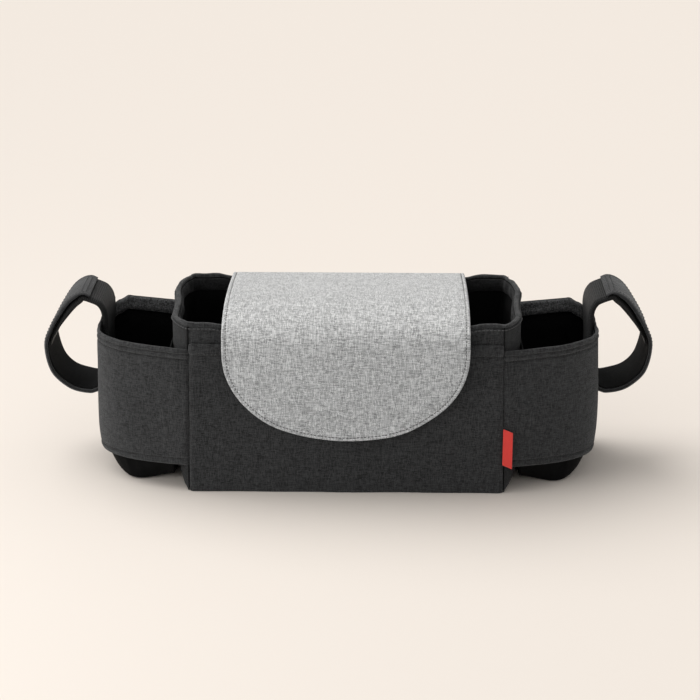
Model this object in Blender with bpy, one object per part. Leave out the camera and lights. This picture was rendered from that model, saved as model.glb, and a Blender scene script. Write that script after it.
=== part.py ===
"""Stroller organizer: a stiffened fabric box with a cover flap, a cup holder sewn to each side and two strap loops.

Lengths are in metres. Until the last section Y = 0 is the front panel's outer face and +Y runs to the back,
X = 0 is the middle of the box, and Z = 0 is the ground.
"""
import math

import bmesh
import bpy
import numpy as np

# Driving dimensions of the box
SEAM_HALF = 0.125
SEAM_FLARE = 0.003
SIDE_HALF = 0.1405
BACK_HALF = 0.136
BOX_HEIGHT = 0.145
BACK_RISE = 0.003
BOX_DEPTH = 0.118
CORNER_DEPTH = 0.026
SIDE_TAPER = 0.0025
FOOT_RADIUS = 0.014
FOOT_TUCK = 0.006

# Thickness of each layer, and the clearance between pieces that touch
GAP = 0.0003
WALL = 0.003
LINING = 0.0012
BOARD = 0.002
POCKET = 0.0022
SLEEVE = 0.002
POUCH = 0.0012
FACING = 0.0015
FLAP = 0.0014
FLAP_LINING = 0.001
HOOK = 0.001
LOOP = 0.001
STRAP = 0.0034
STRAP_LINING = 0.0008
STRAP_HOOK = 0.0006
WEBBING = 0.002
TAG = 0.001

# Rim binding
BINDING_WALL = 0.0012
BINDING_DEPTH = 0.005

# Front pocket, its hem and its closure
POCKET_DROP = 0.0170
POCKET_HEM = 0.0078
PATCH_WIDTH = 0.070
PATCH_HEIGHT = 0.020
PATCH_RISE = 0.0093

# Cover flap
FLAP_HALF = 0.098
FLAP_DROP = 0.0983
FLAP_ROUND_DROP = 0.020
FLAP_POWER = 2.15
FLAP_SEW_DROP = 0.029
FLAP_SAG = 0.0015
RIM_DIP_FRONT = 0.001
RIM_DIP_BACK = 0.002

# Cup holders
CUP_OUT = 0.206
CUP_ROUND_DEPTH = 0.0645
CUP_SQUARENESS = 3.1
CUP_CORNER = 0.009
SLEEVE_DROP = 0.022
SLEEVE_TOP_RISE = 0.004
SLEEVE_LOW = 0.024
SLEEVE_LOW_DROP = 0.0035
SLEEVE_HEM = 0.009
SLEEVE_TUCK = 0.0015
TUCK_TOP = 0.040
TUCK_LENGTH = 0.019
CUP_BASE_X = 0.160
CUP_BASE_Y = 0.062
CUP_BASE_HALF_X = 0.020
CUP_BASE_HALF_Y = 0.043
CUP_BASE_Z = 0.001
CUP_TAPER_TOP = 0.040
CUP_TAPER_POWER = 0.45

# Wings of the back panel
WING_LOW = 0.022
WING_DROP = 0.022
WING_CLIMB = 0.0055
WING_STEP = 0.187
WING_STEP_DROP = 0.004
FACING_HEIGHT = 0.0112

# Strap loops
STRAP_WIDTH = 0.050
STRAP_REACH = 0.0475
STRAP_RISE = 0.0267
STRAP_FALL = 0.0618
OVERLAP = 0.034
WEBBING_SEWN = 0.042

# Side tag
TAG_WIDTH = 0.0072
TAG_HEIGHT = 0.031
TAG_TOP = 0.0572
TAG_SLANT = 0.003

# Places that several pieces share
POCKET_TOP = BOX_HEIGHT - POCKET_DROP
FLAP_END_Z = BOX_HEIGHT - FLAP_DROP
FLAP_ROUND_Z = BOX_HEIGHT - FLAP_ROUND_DROP
PATCH_Z = FLAP_END_Z + PATCH_RISE
SLEEVE_TOP = BOX_HEIGHT - SLEEVE_DROP
WING_TOP_INNER = BOX_HEIGHT - WING_DROP
WING_TOP_OUTER = WING_TOP_INNER + WING_CLIMB
STRAP_LOW = SLEEVE_TOP - STRAP_FALL
STRAP_TOP = SLEEVE_TOP + STRAP_RISE
BACK_OUT = BOX_DEPTH + WALL
STRAP_Y = BACK_OUT - CUP_CORNER - STRAP_WIDTH
POCKET_OUT = POCKET + GAP
PATCH_OUT = POCKET_OUT + GAP + LOOP + GAP + HOOK
FLAP_STACK = FLAP_LINING + GAP + FLAP
FLAP_FRONT = PATCH_OUT + GAP
BINDING_SLOT = WALL + GAP + LINING + 2 * GAP
BINDING_OUT = GAP + BINDING_WALL
FLAP_BACK = BACK_OUT + BINDING_OUT + GAP
CUP_IN = CUP_OUT - SLEEVE - GAP - POUCH


def material(name, colour, roughness):
    """A Principled material of one cloth colour."""
    made = bpy.data.materials.new(name)
    made.use_nodes = True
    shader = made.node_tree.nodes["Principled BSDF"]
    shader.inputs["Base Color"].default_value = (*colour, 1.0)
    shader.inputs["Roughness"].default_value = roughness
    shader.inputs["Metallic"].default_value = 0.0
    made.diffuse_color = (*colour, 1.0)
    return made


def add_piece(name, points, faces, cloth, bevel=0.0):
    """One closed piece from its points and faces, with its faces turned outwards and, if asked, its edges eased."""
    mesh = bpy.data.meshes.new(name)
    mesh.from_pydata(np.asarray(points, float).reshape(-1, 3).tolist(), [], faces)
    work = bmesh.new()
    work.from_mesh(mesh)
    bmesh.ops.recalc_face_normals(work, faces=work.faces)
    work.to_mesh(mesh)
    work.free()
    mesh.shade_smooth()
    mesh.set_sharp_from_angle(angle=math.radians(40))
    mesh.materials.append(cloth)
    piece = bpy.data.objects.new(name, mesh)
    piece.parent = organizer
    bpy.context.scene.collection.objects.link(piece)
    if bevel:
        ease = piece.modifiers.new("eased edge", "BEVEL")
        ease.width = bevel
        ease.segments = 2
        ease.limit_method = "ANGLE"
        ease.angle_limit = math.radians(50)
    return piece


def grid_faces(rows, columns, start=0):
    """The quads of a rows by columns grid of points."""
    r, c = np.meshgrid(np.arange(rows - 1), np.arange(columns - 1), indexing="ij")
    first = (start + r * columns + c).ravel()
    return np.stack([first, first + 1, first + columns + 1, first + columns], axis=1).tolist()


def sheet(name, outer, inner, cloth, bevel=0.0):
    """A cloth piece between two grids of points of the same shape, closed along its four edges."""
    rows, columns = outer.shape[:2]
    count = rows * columns
    faces = grid_faces(rows, columns) + grid_faces(rows, columns, count)
    index = np.arange(count).reshape(rows, columns)
    edge = np.concatenate([index[0, :-1], index[:-1, -1], index[-1, :0:-1], index[:0:-1, 0]])
    after = np.roll(edge, -1)
    faces += np.stack([edge, after, after + count, edge + count], axis=1).tolist()
    return add_piece(name, np.concatenate([outer.reshape(-1, 3), inner.reshape(-1, 3)]), faces, cloth, bevel)


def loft(name, rings, cloth, closed=False):
    """A solid through rings of points, capped at both ends, or joined end to end if it is closed."""
    rings = np.asarray(rings, float)
    count, around = rings.shape[:2]
    step = np.arange(around)
    faces = []
    for k in range(count if closed else count - 1):
        low = k * around
        high = (k + 1) % count * around
        faces += np.stack(
            [low + step, low + (step + 1) % around, high + (step + 1) % around, high + step], axis=1
        ).tolist()
    if not closed:
        faces.append(step[::-1].tolist())
        faces.append(((count - 1) * around + step).tolist())
    return add_piece(name, rings, faces, cloth)


def plate(name, outline, front, back, cloth, bevel=0.0):
    """A flat panel: an outline in X and Z, from the front plane to the back plane."""
    outline = np.asarray(outline, float)
    count = len(outline)
    points = [np.stack([outline[:, 0], np.full(count, y), outline[:, 1]], axis=1) for y in (front, back)]
    step = np.arange(count)
    faces = [step.tolist(), (step[::-1] + count).tolist()]
    faces += np.stack([step, step + count, (step + 1) % count + count, (step + 1) % count], axis=1).tolist()
    return add_piece(name, np.concatenate(points), faces, cloth, bevel)


def smooth_curve(points, count):
    """A Catmull-Rom curve through the points, read at count places evenly spaced along it."""
    points = np.asarray(points, float)
    ends = np.concatenate([[2 * points[0] - points[1]], points, [2 * points[-1] - points[-2]]])
    t = np.linspace(0, 1, 12, endpoint=False)[:, None]
    a, b, c, d = ends[:-3, None], ends[1:-2, None], ends[2:-1, None], ends[3:, None]
    dense = 0.5 * (2 * b + (c - a) * t + (2 * a - 5 * b + 4 * c - d) * t**2 + (3 * b - a - 3 * c + d) * t**3)
    dense = np.concatenate([dense.reshape(-1, 2), points[-1:]])
    return evenly(dense, count)


def evenly(line, count, start=0.0, end=1.0):
    """The same line, read at count places evenly spaced between two shares of its length."""
    along = np.concatenate([[0], np.cumsum(np.linalg.norm(np.diff(line, axis=0), axis=1))])
    at = np.linspace(start, end, count) * along[-1]
    return np.stack([np.interp(at, along, line[:, k]) for k in (0, 1)], axis=1)


def offset(line, distance):
    """A line moved sideways by a distance, to its left for a positive one."""
    run = np.diff(line, axis=0)
    run /= np.linalg.norm(run, axis=1)[:, None]
    normal = np.stack([-run[:, 1], run[:, 0]], axis=1)
    before = np.concatenate([normal[:1], normal])
    after = np.concatenate([normal, normal[-1:]])
    middle = before + after
    middle /= (middle * after).sum(axis=1)[:, None]
    return line + middle * distance


def ease(t):
    """0 below 0, 1 above 1, and a soft step between."""
    t = np.clip(t, 0, 1)
    return t * t * (3 - 2 * t)


def seam_x(z):
    """Half the width between the front seams at a height: it flares a little towards the ground."""
    return SEAM_HALF + SEAM_FLARE * (1 - z / BOX_HEIGHT)


def side_x(z):
    """Half the outer width of the box at a height: a slight taper, then a tuck into the rounded foot."""
    taper = SIDE_TAPER * ease((BOX_HEIGHT - z) / (BOX_HEIGHT - 2 * FOOT_RADIUS))
    under = np.clip((FOOT_RADIUS - z) / FOOT_RADIUS, 0, 1)
    return SIDE_HALF - taper - FOOT_TUCK * (1 - np.sqrt(1 - under**2))


def rim_z(x, y):
    """Height of the box's rim: it rises to the back and dips under the flap."""
    share = np.clip(y / BACK_OUT, 0, 1)
    under_flap = ease((FLAP_HALF + 0.013 - np.abs(x)) / 0.012)
    return BOX_HEIGHT + BACK_RISE * share - under_flap * (RIM_DIP_FRONT + (RIM_DIP_BACK - RIM_DIP_FRONT) * share)


def side_path(inset, z, end):
    """The plan of one side of the box from the front seam round the soft corner and back to a depth."""
    seam = seam_x(z) + GAP
    side = side_x(z) - inset
    t = np.radians(np.linspace(0, 90, 7))
    corner_x = seam + (side - seam) * np.sin(t) ** 1.43
    corner_y = CORNER_DEPTH - (CORNER_DEPTH - inset) * np.cos(t) ** 1.43
    bend = 0.74 * BOX_DEPTH
    back = side_x(z) - SIDE_HALF + BACK_HALF - inset
    end_x = side + (back - side) * (end - bend) / (BACK_OUT - bend)
    x = np.concatenate([corner_x, [side, side, end_x]])
    y = np.concatenate([corner_y, [(CORNER_DEPTH + bend) / 2, bend, end]])
    return np.stack([x, y], axis=1)


def box_loop(inset, z):
    """The plan of the whole box at an inset from its outer faces, as one closed loop."""
    right = side_path(inset, z, BACK_OUT - inset)
    stops = np.array([0, 0.5 * FLAP_HALF, FLAP_HALF + 0.001, FLAP_HALF + 0.007, FLAP_HALF + 0.013])
    across = np.concatenate([-stops[:0:-1], stops])
    front_x = np.concatenate([[-seam_x(z)], across, [seam_x(z)]])
    front = np.stack([front_x, np.full(len(front_x), inset)], axis=1)
    back = np.stack([across[::-1], np.full(len(across), BACK_OUT - inset)], axis=1)
    left = right[::-1] * [-1, 1]
    return np.concatenate([front, right[1:], back, left[:-1]])


def ring(inset, z):
    """A box loop at one height, as points in space."""
    loop = box_loop(inset, z)
    return np.column_stack([loop, np.full(len(loop), z)])


def rim_ring(inset, drop):
    """A box loop that follows the rim, a drop below it."""
    loop = box_loop(inset, BOX_HEIGHT)
    guide = box_loop(0.0, BOX_HEIGHT)
    return np.column_stack([loop, rim_z(guide[:, 0], guide[:, 1]) - drop])


for old in list(bpy.data.objects):
    bpy.data.objects.remove(old, do_unlink=True)

organizer = bpy.data.objects.new("organizer", None)
bpy.context.scene.collection.objects.link(organizer)

shell_cloth = material("shell_fabric", (0.045, 0.045, 0.045), 0.9)
lining_cloth = material("lining_fabric", (0.010, 0.010, 0.010), 0.85)
flap_cloth = material("flap_fabric", (0.40, 0.40, 0.40), 0.9)
web_cloth = material("webbing", (0.014, 0.014, 0.015), 0.8)
grip_cloth = material("hook_and_loop", (0.010, 0.010, 0.010), 0.95)
tag_cloth = material("tag_fabric", (0.80, 0.045, 0.03), 0.7)
board_sheet = material("board", (0.05, 0.05, 0.05), 0.6)

WALL_DROP = BINDING_WALL + GAP
LEVELS = [0.0, WALL, FOOT_RADIUS / 2, FOOT_RADIUS, 0.3 * BOX_HEIGHT, 0.6 * BOX_HEIGHT, 0.85 * BOX_HEIGHT]


# Box: front panel, back panel with the two wings, side gussets and bottom panel

def front_panel():
    """A flat padded panel, square at the foot, whose top follows the rim."""
    across = box_loop(0.0, BOX_HEIGHT)
    top = across[np.abs(across[:, 1]) < 1e-9][::-1]
    outline = [(-seam_x(0.0), 0.0), (seam_x(0.0), 0.0)]
    outline += [(x, rim_z(x, 0.0) - WALL_DROP) for x, _ in top]
    plate("front_panel", outline, 0.0, WALL, shell_cloth)


def wing_top(x):
    """Height of a wing's top edge: it climbs away from the box, then steps down before the outer corner."""
    climb = WING_TOP_INNER + (WING_TOP_OUTER - WING_TOP_INNER) * (x - BACK_HALF) / (WING_STEP - BACK_HALF)
    return np.where(x > WING_STEP, WING_TOP_OUTER - WING_STEP_DROP, climb)


def back_panel():
    """The panel behind the box, cut in one with a wing behind each cup holder."""
    wing_end = CUP_OUT - CUP_CORNER
    right = [
        (BACK_HALF - FOOT_TUCK, 0.0),
        (BACK_HALF - 0.001, FOOT_RADIUS),
        (BACK_HALF, WING_LOW),
        (wing_end, WING_LOW),
        (wing_end, wing_top(wing_end) - 0.003),
        (wing_end - 0.003, wing_top(wing_end)),
        (WING_STEP + 0.001, wing_top(wing_end)),
        (WING_STEP - 0.001, WING_TOP_OUTER),
        (WING_STEP - 0.008, WING_TOP_OUTER),
        (BACK_HALF + 0.0005, WING_TOP_INNER),
        (BACK_HALF, rim_z(BACK_HALF, BACK_OUT) - WALL_DROP),
    ]
    rim = [FLAP_HALF + 0.013, FLAP_HALF + 0.007, FLAP_HALF + 0.001]
    right += [(x, rim_z(x, BACK_OUT) - WALL_DROP) for x in rim]
    left = [(-x, z) for x, z in right[::-1]]
    plate("back_panel", right + left, BOX_DEPTH, BACK_OUT, shell_cloth)


def gusset(name, side):
    """One side of the box: a padded strip round the soft front corner to the back panel, with a rounded foot."""
    faces = []
    for inset in (0.0, WALL):
        rows = []
        for z in LEVELS + [BOX_HEIGHT]:
            path = side_path(inset, z, BOX_DEPTH - GAP)
            height = np.full(len(path), z)
            if z == BOX_HEIGHT:
                guide = side_path(0.0, z, BOX_DEPTH - GAP)
                height = rim_z(guide[:, 0], guide[:, 1]) - WALL_DROP
            rows.append(np.column_stack([path * [side, 1], height]))
        faces.append(np.array(rows))
    sheet(name, faces[0], faces[1], shell_cloth)


front_panel()
back_panel()
gusset("left_gusset", -1)
gusset("right_gusset", 1)
loft("bottom_panel", [ring(WALL + GAP, z) for z in (0.0, WALL)], shell_cloth)


# Inside of the box: a board over the bottom panel, and the lining sewn in at the rim

board_low = WALL + GAP
loft("base_board", [ring(WALL + 2 * GAP, z) for z in (board_low, board_low + BOARD)], board_sheet)


def box_lining():
    """A thin open bag inside the walls, whose top edge runs up into the binding."""
    floor = board_low + BOARD + GAP
    outer_inset = WALL + GAP
    inner_inset = outer_inset + LINING
    levels = [z for z in LEVELS if z > floor + LINING]
    rings = [ring(outer_inset, z) for z in [floor] + levels] + [rim_ring(outer_inset, WALL_DROP)]
    rings += [rim_ring(inner_inset, WALL_DROP)] + [ring(inner_inset, z) for z in levels[::-1] + [floor + LINING]]
    loft("box_lining", rings, lining_cloth)


def rim_binding():
    """A folded strip over the top edges of the walls and the lining, all round the box."""
    slot_in = BINDING_SLOT - GAP
    out = BINDING_OUT
    profile = [
        (-out, BINDING_DEPTH), (-out - 0.0002, 0.0020), (-out + 0.0008, 0.0004), (0.0010, 0.0),
        (slot_in - 0.0010, 0.0), (slot_in + 0.0006, 0.0004), (slot_in + 0.0014, 0.0020),
        (slot_in + BINDING_WALL, BINDING_DEPTH), (slot_in, BINDING_DEPTH), (slot_in, BINDING_WALL),
        (-GAP, BINDING_WALL), (-GAP, BINDING_DEPTH),
    ]
    rings = np.array([rim_ring(inset, drop) for inset, drop in profile])
    loft("rim_binding", rings.transpose(1, 0, 2), shell_cloth, closed=True)


box_lining()
rim_binding()


# Front pocket with its hem, and the patches that hold the flap shut

def front_pocket():
    """A panel over the front, sewn in at both seams and the foot, with a folded hem along its open top."""
    top = POCKET_TOP
    hem = top - POCKET_HEM
    levels = [0.001, 0.0025, 0.5 * hem, hem - 0.001, hem, hem + 0.001, top - 0.001, top]
    puff = [-0.0008, 0.0, 0.0, 0.0, -0.0005, 0.0, 0.0, -0.0008]
    across = np.linspace(-1, 1, 5)
    outer = [[(seam_x(z) * u, -POCKET_OUT - e, z) for u in across] for z, e in zip(levels, puff)]
    inner = [[(seam_x(z) * u, -GAP, z) for u in across] for z in levels]
    sheet("front_pocket", np.array(outer), np.array(inner), shell_cloth)


def patch(name, front, thickness):
    """A rectangle of hook or loop tape, centred under the flap's lower end."""
    half = PATCH_WIDTH / 2
    outline = [(-half, PATCH_Z), (half, PATCH_Z), (half, PATCH_Z + PATCH_HEIGHT), (-half, PATCH_Z + PATCH_HEIGHT)]
    plate(name, outline, -front, -front + thickness, grip_cloth)


front_pocket()
patch("pocket_loop_patch", POCKET_OUT + GAP + LOOP, LOOP)
patch("flap_hook_patch", PATCH_OUT, HOOK)


# Cover flap: a facing and a lining, from the back panel over both rims and down the front

def flap_path():
    """The flap's under face in Y and Z: up the back, over the rim, a sagging span, over the front rim and down."""
    back_rim = rim_z(0.0, BACK_OUT) + GAP
    front_rim = rim_z(0.0, 0.0) + GAP
    low = back_rim - BINDING_DEPTH - 0.007
    rise = ease(np.linspace(0, 1, 4))
    sewn = BACK_OUT + GAP
    climb_y = sewn + (FLAP_BACK - sewn) * rise
    climb_z = np.linspace(low, back_rim - BINDING_DEPTH, 4)
    turn = np.radians(np.linspace(0, 90, 5))
    back_bend = 0.0022
    over_y = FLAP_BACK - back_bend * (1 - np.cos(turn))
    over_z = back_rim - back_bend * (1 - np.sin(turn))
    bend_y = FLAP_FRONT + 0.0005
    bend_z = 0.0103
    span = np.linspace(0, 1, 7)[1:-1]
    span_y = over_y[-1] + (0.0005 - over_y[-1]) * span
    span_z = back_rim + (front_rim - back_rim) * span - 4 * FLAP_SAG * span * (1 - span)
    fall = np.radians(np.linspace(0, 90, 7))
    fall_y = 0.0005 - bend_y * np.sin(fall)
    fall_z = front_rim - bend_z * (1 - np.cos(fall))
    hang_z = FLAP_ROUND_Z + (FLAP_END_Z - FLAP_ROUND_Z) * np.sin(np.radians(np.linspace(0, 88, 14)))
    y = np.concatenate([[sewn], climb_y, over_y, span_y, fall_y, np.full(14, -FLAP_FRONT)])
    z = np.concatenate([[BOX_HEIGHT - FLAP_SEW_DROP], climb_z, over_z, span_z, fall_z, hang_z])
    return np.stack([y, z], axis=1)


def flap_half_width(path):
    """Half the flap's width along its path: parallel sides, then a superellipse down to the lower edge."""
    down = np.where(path[:, 0] < 0, (FLAP_ROUND_Z - path[:, 1]) / (FLAP_ROUND_Z - FLAP_END_Z), 0)
    return FLAP_HALF * (1 - np.clip(down, 0, 1) ** FLAP_POWER) ** (1 / FLAP_POWER)


def flap_layer(name, near, thickness, narrower, cloth):
    """One layer of the flap, between two distances out from the flap's under face."""
    path = flap_path()
    half = flap_half_width(path) - narrower
    across = np.linspace(-1, 1, 7)
    grids = []
    for distance in (near + thickness, near):
        line = offset(path, -distance)
        x = half[:, None] * across
        y = np.broadcast_to(line[:, :1], x.shape)
        z = np.broadcast_to(line[:, 1:], x.shape)
        grids.append(np.stack([x, y, z], axis=2))
    sheet(name, grids[0], grids[1], cloth)


flap_layer("flap_lining", 0.0, FLAP_LINING, 0.0008, lining_cloth)
flap_layer("flap_shell", FLAP_LINING + GAP, FLAP, 0.0, flap_cloth)


# Cup holders: a sleeve sewn into the front seam, a pouch inside it, and a facing along the wing's top

def sleeve_plan(z, inset):
    """The plan of a sleeve at a height, from the front seam in a squarish bulge to the outer wall and the back corner."""
    start = seam_x(z) + GAP
    w = 1 - np.linspace(0, 1, 15)
    bulge_x = start + (CUP_OUT - start) * (1 - w**CUP_SQUARENESS)
    bulge_y = -POCKET_OUT + CUP_ROUND_DEPTH * (1 - w)
    turn = np.radians(np.linspace(0, 90, 5))
    centre_y = BACK_OUT - CUP_CORNER
    corner_x = CUP_OUT - CUP_CORNER + GAP + (CUP_CORNER - GAP) * np.cos(turn)
    corner_y = centre_y + CUP_CORNER * np.sin(turn)
    line = np.stack([np.concatenate([bulge_x, corner_x]), np.concatenate([bulge_y, corner_y])], axis=1)
    line = offset(line, inset)
    line[[0, -1], 0] = start, CUP_OUT - CUP_CORNER + GAP
    return line


def sleeve(name, side):
    """The outer sleeve, with a rolled hem at its rim and its lower edge, tucked in at the outer lower corner."""
    rolled = [(0.0, -0.0007), (0.0012, 0.0), (0.0036, 0.0), (0.0042, -0.0004), (0.0050, 0.0)]
    hemmed = [(SLEEVE_HEM + 0.0008, 0.0), (SLEEVE_HEM, -0.0004), (SLEEVE_HEM - 0.0008, 0.0), (0.0012, 0.0),
              (0.0, -0.0007)]
    grids = []
    for inset in (0.0, SLEEVE):
        rows = []
        middle = sleeve_plan(SLEEVE_TOP / 2, 0.0)
        share = np.clip((middle[:, 0] - SEAM_HALF) / (CUP_OUT - SEAM_HALF), 0, 1)
        where = ease((share - 0.45) / 0.4) * ease((BACK_OUT - CUP_CORNER - middle[:, 1]) / 0.03)
        low = SLEEVE_LOW - SLEEVE_LOW_DROP * share
        top = SLEEVE_TOP + SLEEVE_TOP_RISE * ease(share)
        heights = [low + up for up, _ in rolled]
        heights += [low + (top - low) * part for part in (0.17, 0.45, 0.75)]
        heights += [top - down for down, _ in hemmed]
        hollows = [e for _, e in rolled] + [0.0] * 3 + [e for _, e in hemmed]
        for height, hollow in zip(heights, hollows):
            tuck = SLEEVE_TUCK * where * np.clip((TUCK_TOP - height) / TUCK_LENGTH, 0, 1) ** 2
            plan = sleeve_plan(height.mean(), inset - (hollow if inset == 0.0 else 0.0))
            plan = plan - np.stack([tuck, np.zeros(len(tuck))], axis=1)
            rows.append(np.column_stack([plan * [side, 1], height]))
        grids.append(np.array(rows))
    sheet(name, grids[0], grids[1], shell_cloth)


def pouch_plan(inset):
    """The plan of a cup's pouch: along the sleeve, across the wing and back along the box."""
    near = SIDE_HALF + GAP + inset
    line = sleeve_plan(SLEEVE_TOP, SLEEVE + GAP + inset)
    dense = evenly(line, 400)
    kept = dense[dense[:, 0] >= near]
    curve = evenly(kept, 20)
    curve[:, 1] = np.minimum(curve[:, 1], BOX_DEPTH - GAP - inset)
    back = BOX_DEPTH - GAP - inset
    box_side = [(near, y) for y in np.linspace(back, curve[0, 1] + 0.004, 5)]
    cross = [(x, back) for x in np.linspace(curve[-1, 0], near, 4)[1:-1]]
    return np.concatenate([curve, cross, box_side])


def pouch_rings(side):
    """Rings up the outside of a pouch and down its inside, blending from the small base to the full cup."""
    rings = []
    taper = CUP_TAPER_TOP - CUP_BASE_Z
    outer = [CUP_BASE_Z + taper * part for part in (0, 0.07, 0.18, 0.34, 0.55, 1)] + [0.65 * SLEEVE_TOP]
    inner = [z for z in outer[:0:-1]] + [CUP_BASE_Z + POUCH]
    for levels, inset in ((outer + [None], 0.0), ([None] + inner, POUCH)):
        full = pouch_plan(inset)
        centre = np.array([(SIDE_HALF + CUP_OUT) / 2, 0.55 * BOX_DEPTH])
        around = np.arctan2(*((full - centre) / [CUP_OUT - centre[0], centre[1]]).T[::-1])
        base = np.stack([
            CUP_BASE_X + (CUP_BASE_HALF_X - inset) * np.sign(np.cos(around)) * np.abs(np.cos(around)) ** 0.8,
            CUP_BASE_Y + (CUP_BASE_HALF_Y - inset) * np.sign(np.sin(around)) * np.abs(np.sin(around)) ** 0.8,
        ], axis=1)
        for z in levels:
            if z is None:
                at_back = full[:, 1] > BOX_DEPTH - 0.004
                height = np.where(at_back, WING_TOP_INNER - FACING_HEIGHT - GAP, SLEEVE_TOP - 0.002)
                rings.append(np.column_stack([full * [side, 1], height]))
                continue
            share = np.clip((z - CUP_BASE_Z) / (CUP_TAPER_TOP - CUP_BASE_Z), 0, 1) ** CUP_TAPER_POWER
            plan = base + (full - base) * share
            rings.append(np.column_stack([plan * [side, 1], np.full(len(plan), z)]))
    return rings


def wing_facing(name, side):
    """A band of shell fabric along the cup side of a wing's top edge."""
    x = np.array([SIDE_HALF + POUCH + 3 * GAP, WING_STEP - 0.008, WING_STEP - 0.001, WING_STEP + 0.001,
                  CUP_OUT - CUP_CORNER - 0.003])
    top = np.array([WING_TOP_INNER, WING_TOP_OUTER, WING_TOP_OUTER, WING_TOP_OUTER - WING_STEP_DROP,
                    WING_TOP_OUTER - WING_STEP_DROP])
    outline = [(side * a, b) for a, b in zip(x, top)]
    outline += [(side * a, WING_TOP_INNER - FACING_HEIGHT) for a in x[::-1]]
    plate(name, outline, BOX_DEPTH - GAP - FACING, BOX_DEPTH - GAP, shell_cloth)


for word, side in (("left", -1), ("right", 1)):
    sleeve(f"{word}_cup_sleeve", side)
    loft(f"{word}_cup_pouch", pouch_rings(side), lining_cloth)
    wing_facing(f"{word}_wing_facing", side)


# Strap loops: a faced strap from the sleeve's wall, and a webbing end from inside the cup that it closes on

def strap_contour():
    """The outer face of a strap in X and Z, from the sleeve's wall out, up and over to its free end."""
    shape = [(0.007, 0.012), (0.090, 0.003), (0.190, 0.000), (0.380, 0.020), (0.566, 0.061), (0.830, 0.190),
             (0.950, 0.320), (1.000, 0.480), (0.928, 0.620), (0.770, 0.762), (0.588, 0.880), (0.407, 0.970),
             (0.240, 1.000), (0.113, 0.985)]
    x = CUP_OUT + STRAP_REACH * np.array([a for a, _ in shape])
    z = STRAP_LOW + (STRAP_TOP - STRAP_LOW) * np.array([b for _, b in shape])
    return smooth_curve(np.stack([x, z], axis=1), 240)


def tape(name, side, line, near, far, cloth, edge=0.0, bevel=0.0):
    """A flat strap: the room between two offsets of a line in X and Z, as wide as the strap along Y."""
    across = np.array([STRAP_Y + edge, STRAP_Y + STRAP_WIDTH / 2, STRAP_Y + STRAP_WIDTH - edge])
    grids = []
    for distance in (near, far):
        moved = offset(line, distance)
        x = np.repeat(side * moved[:, :1], 3, axis=1)
        z = np.repeat(moved[:, 1:], 3, axis=1)
        grids.append(np.stack([x, np.broadcast_to(across, x.shape), z], axis=2))
    sheet(name, grids[0], grids[1], cloth, bevel)


def webbing_line(contour, depth):
    """The webbing's outer face: up inside the cup, over the sleeve's rim, then along under the strap's free end."""
    length = np.linalg.norm(np.diff(contour, axis=0), axis=1).sum()
    under = evenly(offset(contour, depth), 12, 1 - OVERLAP / length, 1)[::-1]
    sewn = CUP_IN - GAP - WEBBING
    rim = SLEEVE_TOP + SLEEVE_TOP_RISE
    rise = [(sewn, rim - WEBBING_SEWN), (sewn, rim - 0.024), (sewn - 0.0003, rim - 0.010),
            (sewn - 0.0022, rim - 0.001), (sewn - 0.0034, rim + 0.005), (sewn - 0.0026, rim + 0.0105),
            (sewn + 0.0006, rim + 0.0150)]
    return smooth_curve(np.concatenate([rise, under[1:]]), 34)


for word, side in (("left", -1), ("right", 1)):
    contour = strap_contour()
    strap_line = evenly(contour, 30)
    lining_near = STRAP + GAP
    lining_far = lining_near + STRAP_LINING
    hook_near = lining_far + GAP
    hook_far = hook_near + STRAP_HOOK
    tape(f"{word}_strap", side, strap_line, 0.0, STRAP, shell_cloth)
    tape(f"{word}_strap_lining", side, strap_line, lining_near, lining_far, grip_cloth, edge=0.002)
    length = np.linalg.norm(np.diff(contour, axis=0), axis=1).sum()
    hook_line = evenly(contour, 9, 1 - 0.85 * OVERLAP / length, 1 - 0.1 * OVERLAP / length)
    tape(f"{word}_strap_hook", side, hook_line, hook_near, hook_far, grip_cloth, edge=0.004)
    web = webbing_line(contour, hook_far + GAP)
    tape(f"{word}_strap_webbing", side, web, 0.0, -WEBBING, web_cloth, edge=0.001)


# Side tag: a folded tab caught in the right front seam

tag_left = seam_x(TAG_TOP - TAG_HEIGHT / 2)
tag_outline = [
    (tag_left, TAG_TOP - TAG_HEIGHT), (tag_left + TAG_WIDTH, TAG_TOP - TAG_HEIGHT - TAG_SLANT),
    (tag_left + TAG_WIDTH, TAG_TOP - TAG_SLANT), (tag_left, TAG_TOP),
]
plate("side_tag", tag_outline, -POCKET_OUT - GAP - TAG, -POCKET_OUT - GAP, tag_cloth)


# Place the model with the middle of its footprint at the origin

front_most = -(FLAP_FRONT + FLAP_STACK)
back_most = FLAP_BACK + FLAP_STACK
organizer.location = (0.0, -(front_most + back_most) / 2, 0.0)
bpy.context.view_layer.update()
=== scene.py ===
"""Looks of a stroller organizer: charcoal heather cloth, a pale heather flap, black lining and webbing."""
import math

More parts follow.
